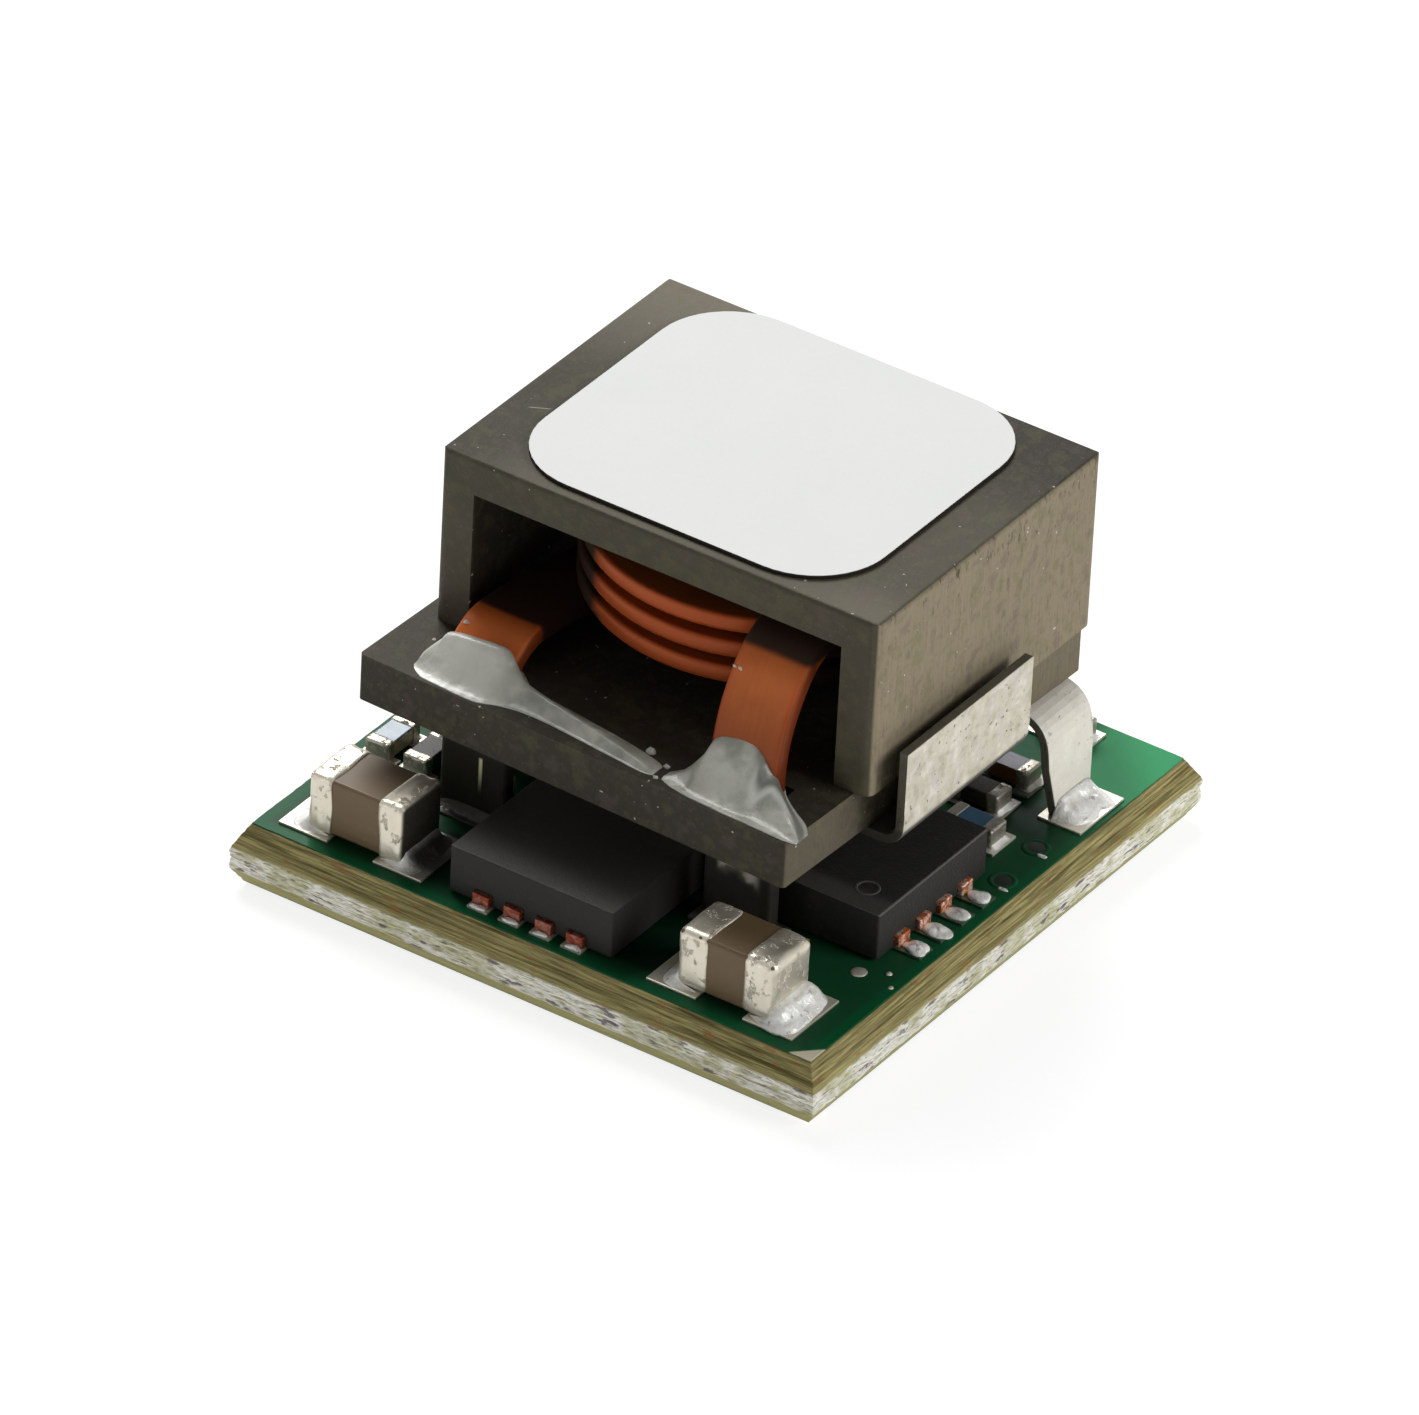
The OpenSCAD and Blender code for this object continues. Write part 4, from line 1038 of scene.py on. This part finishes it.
def lead_path(top, lean, coil_x, lead_x):
    """A lead from its foot to the coil: up through the plate, leaning back, then level to the coil."""
    foot = np.array([LEAD_Y, LEAD_FOOT])
    knee = np.array([LEAD_Y, mix(PLATE_TOP, top, KNEE)])
    bend = np.array([LEAD_Y + lean, top])
    end = np.array([CORE_Y, top])
    reach = BEND * np.linalg.norm(bend - knee)
    rise_up = np.linspace(foot, [LEAD_Y, PLATE_TOP - 0.05], 12)
    curve = np.concatenate([rise_up, round_bend(foot, knee, bend, min(reach, knee[1] - PLATE_TOP)),
                            round_bend(knee, bend, end, reach)])
    level = np.linspace(curve[-1], end, 14)[1:-1]
    curve = np.concatenate([curve, level])
    share = np.clip((curve[:, 0] - bend[0]) / (end[0] - bend[0]), 0, 1)
    x = mix(lead_x, coil_x, share * share * (3 - 2 * share))
    return np.column_stack([x, curve])


def winding_path():
    """The whole wire: up the right lead, down the coil and out along the left lead, with the wide
    direction of its section at each point."""
    angle = np.linspace(0, TURNS * 2 * math.pi, COIL_STATIONS)
    radial = np.column_stack([np.cos(angle), np.sin(angle), 0 * angle])
    coil = COIL_R * radial + np.column_stack([0 * angle, 0 * angle + CORE_Y,
                                              np.linspace(COIL_TOP, COIL_END, len(angle))])
    upper = lead_path(COIL_TOP, UPPER_LEAN, COIL_R, RIGHT_X)
    lower = lead_path(COIL_END, LOWER_LEAN, -COIL_R, LEFT_X)[::-1]
    path = np.concatenate([upper, coil, lower])
    wide = np.concatenate([np.tile([1.0, 0, 0], (len(upper), 1)), radial,
                           np.tile([-1.0, 0, 0], (len(lower), 1))])
    return path, wide


def wire_section(corner_steps=5, face_steps=7):
    """Outline of the flat wire: two faces that are a little hollow, joined by round edges."""
    w, t, r = WIRE_W / 2 - WIRE_EDGE, WIRE_T / 2, WIRE_EDGE
    x = np.linspace(w, -w, face_steps)
    top = np.column_stack([x, t - FACE_HOLLOW * (1 - (x / w) ** 2)])
    a = np.linspace(0.5 * math.pi, 1.5 * math.pi, 2 * corner_steps + 1)[1:-1]
    edge = np.column_stack([-w + r * np.cos(a), (t - r) * np.sign(np.sin(a)) + r * np.sin(a)])
    half = np.concatenate([top, edge])
    return np.concatenate([half, -half])


def winding_solid():
    """The section at each point of the path, spread along its wide axis and across it."""
    path, wide = winding_path()
    ahead = np.gradient(path, axis=0)
    slip = np.einsum("ij,ij->i", wide, ahead) / np.einsum("ij,ij->i", ahead, ahead)
    wide = wide - ahead * slip[:, None]
    wide /= np.linalg.norm(wide, axis=1)[:, None]
    thin = np.cross(wide, ahead)
    thin /= np.linalg.norm(thin, axis=1)[:, None]
    section = wire_section()
    rings = path[:, None] + section[None, :, :1] * wide[:, None] + section[None, :, 1:] * thin[:, None]
    run = run_along(path)
    uv = np.stack([np.broadcast_to(run[:, None], rings.shape[:2]),
                   np.broadcast_to(section[:, 0] / WIRE_W + 0.5, rings.shape[:2])], -1)
    return rings, uv.reshape(-1, 2)


wire_rings, wire_uv = winding_solid()
winding = add_piece("winding_wire", skin(wire_rings), "enamel", nodes=["winding"])
corner_points = np.zeros(len(winding.data.loops), np.int32)
winding.data.loops.foreach_get("vertex_index", corner_points)
uv_map = winding.data.uv_layers.new(name="wire")
uv_map.data.foreach_set("uv", wire_uv[corner_points].astype(np.float32).ravel())
print("wire length in mm:", round(float(wire_uv[:, 0].max()), 1))

# %% [markdown]
# ## Glue
# A dab of grey epoxy holds each lead to the plate. It was poured, so it wets the wire and thins out to
# a tail. A metaball could do that, but its edge would not follow the plate. Each mound is a loft: rows
# across the shelf, each a bell from its front edge over its crest to its back, eased into one another.

# %% Glue mounds
GLUE_H = 0.85
LEAD_REACH = 0.8
PLATE_X, PLATE_Y, PLATE_D, PLATE_TURN = -0.22, 0.16, 8.78, math.radians(1.9)
# Way from the lead in widths of the wire; front, crest and back as shares of the shelf; height
LEFT_GLUE = [
    [-0.74, 0.62, 0.45, -0.2, 0.03], [-0.68, 0.76, 0.4, 0.02, 0.24], [-0.56, 0.88, 0.14, 0.3, 0.46],
    [-0.46, 0.93, 0.02, 0.55, 0.62], [0, 0.96, 0, 0.6, 0.71], [0.3, 0.95, 0, 0.55, 0.74],
    [0.42, 0.9, 0.02, 0.45, 0.66], [0.54, 0.82, 0.08, 0.3, 0.46], [0.7, 0.74, 0.18, 0.08, 0.31],
    [0.95, 0.68, 0.25, -0.02, 0.25], [1.3, 0.68, 0.35, -0.1, 0.23], [1.7, 0.72, 0.45, -0.2, 0.2],
    [2.36, 0.8, 0.6, -0.38, 0.14], [2.8, 0.84, 0.72, -0.56, 0.08], [2.95, 0.8, 0.74, -0.68, 0.02],
]
RIGHT_GLUE = [
    [-0.85, 0.8, 0.72, -0.75, 0.02], [-0.68, 0.88, 0.45, -0.3, 0.12], [-0.54, 0.92, 0.15, 0.25, 0.42],
    [-0.42, 0.95, 0.03, 0.5, 0.84], [-0.2, 0.96, 0, 0.5, 0.98], [0.1, 0.97, 0, 0.5, 1],
    [0.28, 0.97, 0.02, 0.4, 0.84], [0.45, 0.97, 0.1, 0.25, 0.52], [0.6, 0.97, 0.24, -0.02, 0.36],
    [0.85, 0.97, 0.46, -0.34, 0.22], [1.1, 0.96, 0.7, -0.62, 0.12], [1.25, 0.92, 0.85, -0.92, 0.02],
]
HOLLOW_FLANK = 1.25


def eased_rows(rows, steps):
    """Rows between the given ones, on smooth curves through them (Catmull-Rom, column by column)."""
    rows = np.array(rows)
    padded = np.concatenate([rows[:1], rows, rows[-1:]])
    t = np.linspace(0, 1, steps + 1)[:-1][None, :, None]
    a, b, c, d = (padded[k:len(rows) - 1 + k][:, None] for k in range(4))
    curve = 0.5 * (2 * b + (c - a) * t + (2 * a - 5 * b + 4 * c - d) * t ** 2
                   + (3 * b - a - 3 * c + d) * t ** 3)
    return np.concatenate([curve.reshape(-1, rows.shape[1]), rows[-1:]])


def glue_solid(lead_x, rows, steps=14, points=22):
    """Bells across the shelf: the height goes as half a cosine wave from the front edge up to the
    crest, and as another from the crest down to the back, raised to a power that hollows its flanks."""
    way, front, crest, back, height = eased_rows(rows, steps).T[:, :, None]
    x = lead_x + way * WIRE_W
    edge = PLATE_Y - PLATE_D / 2 / math.cos(PLATE_TURN) - (x - PLATE_X) * math.tan(PLATE_TURN)
    shelf = LEAD_Y - edge
    s = np.linspace(0, 1, points)[None, :]
    y_front, y_crest = LEAD_Y - front * shelf, LEAD_Y - crest * shelf
    y_back = LEAD_Y + back * LEAD_REACH
    y = np.concatenate([mix(y_front, y_crest, s), mix(y_crest, y_back, s[:, 1:])], 1)
    bell = np.concatenate([(1 - np.cos(math.pi * s)) / 2, (1 + np.cos(math.pi * s[:, 1:])) / 2], 1)
    z = PLATE_TOP + GLUE_H * height * bell ** HOLLOW_FLANK
    return skin(np.stack([np.broadcast_to(x, y.shape), y, z], -1))


add_piece("glue_mound_left", glue_solid(LEFT_X, LEFT_GLUE), "glue", nodes=["glue_left"])
add_piece("glue_mound_right", glue_solid(RIGHT_X, RIGHT_GLUE), "glue", nodes=["glue_right"])

# %% [markdown]
# ## Tinned ends of the chip parts
# A chip part is dipped at both ends in metal paste, fired and tinned. The dip leaves soft corners and
# a rim that wanders a little over the ceramic. A box with a bevel would have a straight rim. So each
# end is a rounded rectangle carried along the chip: it swells out of the ceramic at the rim, runs
# straight, turns in over a quarter circle and closes in a slightly domed face.

# %% Tinned ends
END_POINTS = 96
PLATING = 0.035


def even_loop(loop, count):
    """Points at even distances round a closed outline."""
    closed = np.concatenate([loop, loop[:1]])
    run = run_along(closed)
    at = np.linspace(0, run[-1], count + 1)[:-1]
    return np.column_stack([np.interp(at, run, closed[:, k]) for k in range(2)])


def soft_rectangle(half_w, half_h, r):
    """A rectangle with round corners: a quarter circle about the middle of each corner in turn."""
    quarter = np.linspace(0, math.pi / 2, 9)
    corners = [(1, 1), (-1, 1), (-1, -1), (1, -1)]
    arcs = [np.column_stack([sx * (half_w - r) + r * np.cos(quarter + k * math.pi / 2),
                             sy * (half_h - r) + r * np.sin(quarter + k * math.pi / 2)])
            for k, (sx, sy) in enumerate(corners)]
    return even_loop(np.concatenate(arcs), END_POINTS)


def outward(loop):
    """Unit normals of a closed outline that runs counter-clockwise."""
    ahead = np.roll(loop, -1, 0) - np.roll(loop, 1, 0)
    normal = np.column_stack([ahead[:, 1], -ahead[:, 0]])
    return normal / np.linalg.norm(normal, axis=1)[:, None]


def tin_cap(half_l, half_w, height, end, r, seed):
    """One end, along, across and up: the outline is drawn in by inset at each reach from the rim, and
    both waver with smooth noise. The last rings shrink to the middle of the domed face."""
    loop = soft_rectangle(half_w, height / 2, r)
    normal = outward(loop)
    turn = np.linspace(0, math.radians(78), 8)[1:]
    flat = end - r
    reach = np.concatenate([[0, 0.05 * end, 0.12 * end], np.linspace(0.2 * end, flat, 7),
                            flat + r * np.sin(turn)])
    inset = np.concatenate([[PLATING + 0.012, 0.4 * PLATING, 0.004], np.zeros(7),
                            r * (1 - np.cos(turn))])
    u, v = np.arange(END_POINTS)[None, :] / END_POINTS, (reach / end)[:, None] * 0.999
    wander = 0.05 * end * lattice(u, 0 * v, 9, 1, seed) * np.exp(-5 * v)
    swell = 0.012 * height * lattice(u, v, 11, 4, seed + 1) * np.clip(4 * v, 0, 1)
    along = half_l - end + reach[:, None] + wander
    sides = loop[None] - normal[None] * (inset[:, None] - swell)[..., None]
    rings = np.concatenate([along[..., None], sides], -1)
    middle = np.array([rings[-1, :, 0].mean() + 0.25 * (half_l - rings[-1, :, 0].mean()), 0, 0])
    face = [middle + (rings[-1] - middle) * share for share in (0.8, 0.5, 0.2)]
    rings = np.concatenate([rings, face])
    return rings + [0, 0, height / 2]


def set_down(own, low, high, sign):
    """Own axes along, across and up, set on a chip's box whose longer level side is along."""
    mid = (low + high) / 2
    along, across, up = own[..., 0] * sign, own[..., 1] * sign, own[..., 2]
    if high[0] - low[0] > high[1] - low[1]:
        return np.stack([mid[0] + along, mid[1] + across, low[2] + up], -1)
    return np.stack([mid[0] - across, mid[1] + along, low[2] + up], -1)


def chip_sizes(low, high):
    """Half length, half width and height of a chip's box."""
    size = high - low
    return max(size[:2]) / 2, min(size[:2]) / 2, size[2]


BIG_CHIPS = ["left_capacitor", "front_capacitor", "output_capacitor_1", "output_capacitor_2"]
SMALL_CHIPS = [f"{kind}_{i}" for kind in ("resistor", "small_capacitor") for i in (1, 2, 3)]
# Length of the tin along the chip, and radius of its corners
END_SIZES = {chip: (0.52, 0.12) for chip in BIG_CHIPS}
END_SIZES |= {chip: (0.24, 0.05) for chip in SMALL_CHIPS}
END_SIZES["front_capacitor"] = (0.62, 0.17)

for seed, (chip, (end, corner)) in enumerate(END_SIZES.items()):
    low, high = box_mm(f"{chip}_ends")
    caps = []
    for sign in (1, -1):
        cap = tin_cap(*chip_sizes(low, high), end, corner, 20 * seed + 5 * (1 - sign))
        caps.append(skin(set_down(cap, low, high, sign)))
    finish = "big_ends" if chip in BIG_CHIPS else "small_ends"
    add_piece(f"{chip}_tin", joined(caps), finish, nodes=[f"{chip}_ends"])

# %% [markdown]
# ## Solder
# Melted solder wets the tin, climbs it and sets in a hollow curve. A boolean of a cylinder would give
# one even groove. Here a hollow profile is carried round the foot of each joint: its height and its
# spread change along the way, and slow noise makes it as uneven as real solder.

# %% Solder fillets
SEAT = 1.30
ROOT = 0.03
# Way back along the chip's sides, climb as a share of its height, spread, hollowness and lumps
CHIP_JOINTS = {
    "full": (0.3, 0.28, 0.46, 0.8, 0.5),
    "big": (0.3, 0.24, 0.34, 1.9, 0.2),
    "small": (0.12, 0.24, 0.12, 1.9, 0.2),
}


def even_path(points, count):
    """Points at even distances along an open path, with the unit normals on its right side."""
    run = run_along(points)
    at = np.linspace(0, run[-1], count)
    path = np.column_stack([np.interp(at, run, points[:, k]) for k in range(2)])
    ahead = np.gradient(path, axis=0)
    normal = np.column_stack([ahead[:, 1], -ahead[:, 0]])
    return path, normal / np.linalg.norm(normal, axis=1)[:, None]


def fillet(path, normal, climb, spread, seed, hollow, lumpy):
    """Solder beside a path on the pads, with lumps of smooth noise. Its height over the pad falls as a
    power of the way out, from climb at the metal to nothing at spread: the face is hollow where the
    power is above one, and full below it."""
    s = np.linspace(0, 1, 14)[None, :]
    way = np.linspace(0, 0.999, len(path))[:, None]
    folds = 0.6 * lattice(way, s * 0.999, 6, 3, seed) + 0.4 * lattice(way, s * 0.999, 13, 5, seed + 2)
    lump = 1 + lumpy * np.sin(math.pi * s) * folds
    out = spread[:, None] * s * (1 + 0.15 * lattice(way, 0 * s, 5, 1, seed + 1)) - ROOT
    up = climb[:, None] * (1 - s) ** hollow * lump + 0.012 * (1 - s)
    out = np.concatenate([out, out[:, -1:], out[:, :1]], 1)
    up = np.concatenate([up, np.full((len(path), 2), -ROOT)], 1) + SEAT
    level = path[:, None] + normal[:, None] * out[..., None]
    return np.concatenate([level, up[..., None]], -1)


def end_fillet(half_l, half_w, back, climb, spread, seed, hollow, lumpy):
    """A fillet round one end of a chip: full across the end face, and thin along its two sides."""
    r = 0.5 * back if back < half_w else 0.5 * half_w
    a = np.linspace(0, math.pi / 2, 7)
    arc = r * np.column_stack([np.sin(a), np.cos(a)])
    first = np.concatenate([[[half_l - back - r, half_w]], [half_l - r, half_w - r] + arc])
    path, normal = even_path(np.concatenate([first, first[::-1] * [1, -1]])[::-1], 64)
    at_end = np.clip(normal[:, 0], 0, 1) ** 2
    way = np.linspace(0, 1, len(path))
    taper = np.clip(6 * np.minimum(way, 1 - way), 0.05, 1)
    return fillet(path, normal, climb * (0.25 + 0.75 * at_end) * taper,
                  spread * (0.3 + 0.7 * at_end) * taper, seed, hollow, lumpy)


def side_fillet(start, stop, climb, spread, seed, hollow=1.8, lumpy=0.15):
    """A fillet along a straight foot from start to stop, on its right side, that dies out at both
    ends."""
    path, normal = even_path(np.array([start, stop]), 40)
    way = np.linspace(-1, 1, len(path))
    taper = np.clip(1 - way ** 6, 0.04, 1)
    return fillet(path, normal, climb * taper, spread * taper, seed, hollow, lumpy)


def chip_solder(chip, seed):
    """Both fillets of a chip. The front capacitor's right end has a fuller lump than the rest."""
    low, high = box_mm(f"{chip}_ends")
    half_l, half_w, height = chip_sizes(low, high)
    solids = []
    for sign in (1, -1):
        kind = "big" if chip in BIG_CHIPS else "small"
        if chip == "front_capacitor" and sign == 1:
            kind = "full"
        back, climb, spread, hollow, lumpy = CHIP_JOINTS[kind]
        rings = end_fillet(half_l, half_w, back, climb * height, spread, seed + 3 * sign, hollow, lumpy)
        solids.append(skin(set_down(rings - [0, 0, low[2]], low, high, sign)))
    return solids


LEAD_CLIMB, LEAD_SPREAD = 0.2, 0.16
LEG_CLIMB, LEG_SPREAD = 0.32, (0.6, 0.36)
LEG_FACE, LEG_MID, LEG_HALF = (5.12, -5.41), 3.37, 0.66
solder = []
for seed, chip in enumerate(END_SIZES):
    solder += chip_solder(chip, 300 + 10 * seed)
for seed, x in enumerate((LEFT_X, RIGHT_X)):
    half_w, half_t = WIRE_W / 2 + 0.05, WIRE_T / 2
    for turn, first_seed in ((1, 500), (-1, 510)):
        y = LEAD_Y - turn * half_t
        start, stop = [x - turn * half_w, y], [x + turn * half_w, y]
        solder.append(skin(side_fillet(start, stop, LEAD_CLIMB, LEAD_SPREAD, first_seed + seed)))
for seed, (x, turn, spread) in enumerate(zip(LEG_FACE, (1, -1), LEG_SPREAD)):
    start, stop = [x, LEG_MID - turn * LEG_HALF], [x, LEG_MID + turn * LEG_HALF]
    foot = side_fillet(start, stop, LEG_CLIMB, spread, 520 + seed, hollow=0.9, lumpy=0.6)
    solder.append(skin(foot))
add_piece("solder_fillets", joined(solder), "solder", nodes=["solder_joints"])

# %% [markdown]
# ## Small marks
# The joints of the power switches end in small domes of solder. The board has a fiducial dot, two
# test dots and three covered vias, and two small domes of solder at two vias are painted glints. The
# side switch has a moulded ring at its first lead, and a few crumbs of set glue lie on the plate and
# the leads. They could be squashed spheres, but those are all alike. Here a round is carried over a
# short profile, with lumps.

# %% Domes, rings and crumbs
ROUND = np.linspace(0, 2 * math.pi, 29)[:-1]


def dome(centre, radii, seed, rough=0.12):
    """Half an ellipsoid: circles that shrink as a cosine while they climb as a sine, with lumps of
    smooth noise."""
    up = np.linspace(0, 0.48 * math.pi, 9)[:, None]
    lump = 1 + rough * lattice(ROUND / (2 * math.pi) + 0 * up, up / math.pi + 0 * ROUND, 6, 4, seed)
    x, y = np.cos(up) * np.cos(ROUND) * lump, np.cos(up) * np.sin(ROUND) * lump
    z = np.sin(up) * np.ones_like(ROUND) * lump
    return skin(np.stack([x, y, z], -1) * radii + centre)


def bead(centre, radius, width, height):
    """A low ring on a face: half an ellipse of the given width and height, turned about the centre."""
    over = np.linspace(0, math.pi, 9)
    out = np.append(radius + width / 2 * np.cos(over), radius)
    up = np.append(height * np.sin(over), -0.02)
    turn = ROUND[:, None]
    points = np.stack([out * np.cos(turn), out * np.sin(turn), up + 0 * turn], -1).reshape(-1, 3)
    here = np.arange(len(points)).reshape(len(ROUND), len(out))
    ahead, beside = np.roll(here, -1, 0), np.roll(here, -1, 1)
    faces = np.stack([here, ahead, np.roll(ahead, -1, 1), beside], -1).reshape(-1, 4)
    if volume(points, faces) < 0:
        faces = faces[:, ::-1]
    return points + centre, faces.tolist()


SWITCH_PITCH = 0.65
FRONT_SWITCH_X, FRONT_PAD_Y, FRONT_DOME = -0.24, -5.6, [0.17, 0.07, 0.05]
SIDE_PAD_X, SIDE_DOME = 5.42, [0.25, 0.17, 0.08]
STEPS = (np.arange(4) - 1.5) * SWITCH_PITCH
lumps = [dome([SIDE_PAD_X, SIDE_SWITCH_Y + step, SEAT], SIDE_DOME, 600 + k, rough=0.3)
         for k, step in enumerate(STEPS)]
lumps += [dome([FRONT_SWITCH_X + step, FRONT_PAD_Y, SEAT], FRONT_DOME, 610 + k, rough=0.25)
          for k, step in enumerate(STEPS)]
add_piece("switch_solder", joined(lumps), "solder")

# Place on the board, and radius
DOTS = [(4.99, -3.12, 0.15), (5.43, -2.85, 0.06), (5.69, -3.18, 0.05)]
dots = [dome([x, y, TOP], [r, r, 0.03], 630 + k, rough=0.04) for k, (x, y, r) in enumerate(DOTS)]
add_piece("board_dots", joined(dots), "pads")

VIAS = [(5.42, 0.70), (5.32, 1.9), (-5.5, 0.6)]
VIA_R, PLUG_SIZE = 0.21, [0.21, 0.21, 0.014]
rims = [bead([x, y, TOP], VIA_R, width=0.1, height=0.02) for x, y in VIAS]
plugs = [dome([x, y, TOP], PLUG_SIZE, 620 + k, rough=0.02) for k, (x, y) in enumerate(VIAS)]
add_piece("covered_vias", joined(rims), "board")
add_piece("via_plugs", joined(plugs), "via")

# Painted highlights: small solder domes at the near rims of two vias, where the light glints
GLINTS, GLINT_SIZE = [(5.56, 0.48), (5.54, 1.74)], [0.11, 0.045, 0.03]
glints = [dome([x, y, TOP], GLINT_SIZE, 650 + k, rough=0.2) for k, (x, y) in enumerate(GLINTS)]
add_piece("via_tin", joined(glints), "solder")

SWITCH_TOP = 2.22
FIRST_LEAD = [4.45, -2.12, SWITCH_TOP]
ring = bead(FIRST_LEAD, radius=0.2, width=0.05, height=0.012)
add_piece("first_lead_ring", ring, "mark")

# Place on the plate or on a lead, and radius
CRUMBS = [(0.78, -3.49, PLATE_TOP, 0.1), (1.27, -3.72, PLATE_TOP, 0.07), (1.29, -4.1, PLATE_TOP, 0.05),
          (2.06, -2.79, 6.1, 0.05), (1.94, -2.79, 6.1, 0.04), (-3.48, -2.91, 4.83, 0.06)]
crumbs = [dome([x, y, z], [r, 0.7 * r, 0.8 * r], 640 + k, rough=0.4)
          for k, (x, y, z, r) in enumerate(CRUMBS)]
add_piece("glue_crumbs", joined(crumbs), "crumb")

# %% [markdown]
# ## The other solids
# The core, the clip, the film, the pads, and the bodies and lead frames of the chips were pressed,
# folded, cut, etched or moulded, and their solids already have the right faces. They could be drawn
# again here, but a finish is all they lack, so each one keeps its mesh and gets a material.

# %% Finish the remaining solids
NODE_FINISHES = {
    "ferrite": ["upper_core", "lower_core"], "label": ["pickup_label"], "clip": ["core_clip"],
    "pads": ["top_pads", "bottom_lands"],
    "epoxy": ["front_switch_body", "side_switch_body", "controller_body"],
    "copper": ["front_switch_leads", "side_switch_leads"],
    "ceramic": [f"{chip}_body" for chip in [*BIG_CHIPS, "small_capacitor_2"]],
    "small_ends": ["controller_leads"],
    "teal": ["resistor_1_body", "resistor_3_body"], "violet": ["resistor_2_body"],
    "dark_ceramic": ["small_capacitor_1_body", "small_capacitor_3_body"],
}


def dress(node, finish):
    """Puts a finish into every slot of a node, whose mesh stays as it is."""
    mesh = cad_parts[node].data
    mesh.materials.clear()
    mesh.materials.append(FINISHES[finish])


for finish_name, nodes in NODE_FINISHES.items():
    for node_name in nodes:
        dress(node_name, finish_name)
print("dressed nodes:", sum(len(v) for v in NODE_FINISHES.values()))

# %% [markdown]
# No real edge is perfectly sharp, and it is the small round along an edge that catches the light. A
# solid from the frame is a set of loose triangles, so a weld joins them first, and a bevel then rounds
# every edge that turns by more than the limit. Both work on a copy that Blender makes when it draws.

# %% Soft edges
EDGE_ROUNDS = {
    0.06: ["upper_core", "lower_core"],
    0.03: ["core_clip", "front_switch_body", "side_switch_body", "controller_body"],
    0.02: [f"{chip}_body" for chip in BIG_CHIPS] + ["front_switch_leads", "side_switch_leads"],
    0.012: [f"{chip}_body" for chip in SMALL_CHIPS] + ["top_pads", "pickup_label"],
}
SHARP = math.radians(40)
JOIN_WITHIN = 0.0002


def soften(node, width):
    """Joins a node's triangles and rounds its sharp edges, as modifiers, so its mesh stays as it is."""
    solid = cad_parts[node]
    solid.modifiers.new("join", "WELD").merge_threshold = JOIN_WITHIN * MM
    edges = solid.modifiers.new("soft_edges", "BEVEL")
    edges.width = width * MM
    edges.segments = 2
    edges.limit_method = "ANGLE"
    edges.angle_limit = SHARP


for width, nodes in EDGE_ROUNDS.items():
    for node_name in nodes:
        soften(node_name, width)
print("softened nodes:", sum(len(v) for v in EDGE_ROUNDS.values()))

# %% [markdown]
# Last, the size of the box round everything that is drawn is printed.

# %% Print the drawn box
low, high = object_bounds()
print("visual size in mm:", [round(v / MM, 3) for v in high - low])
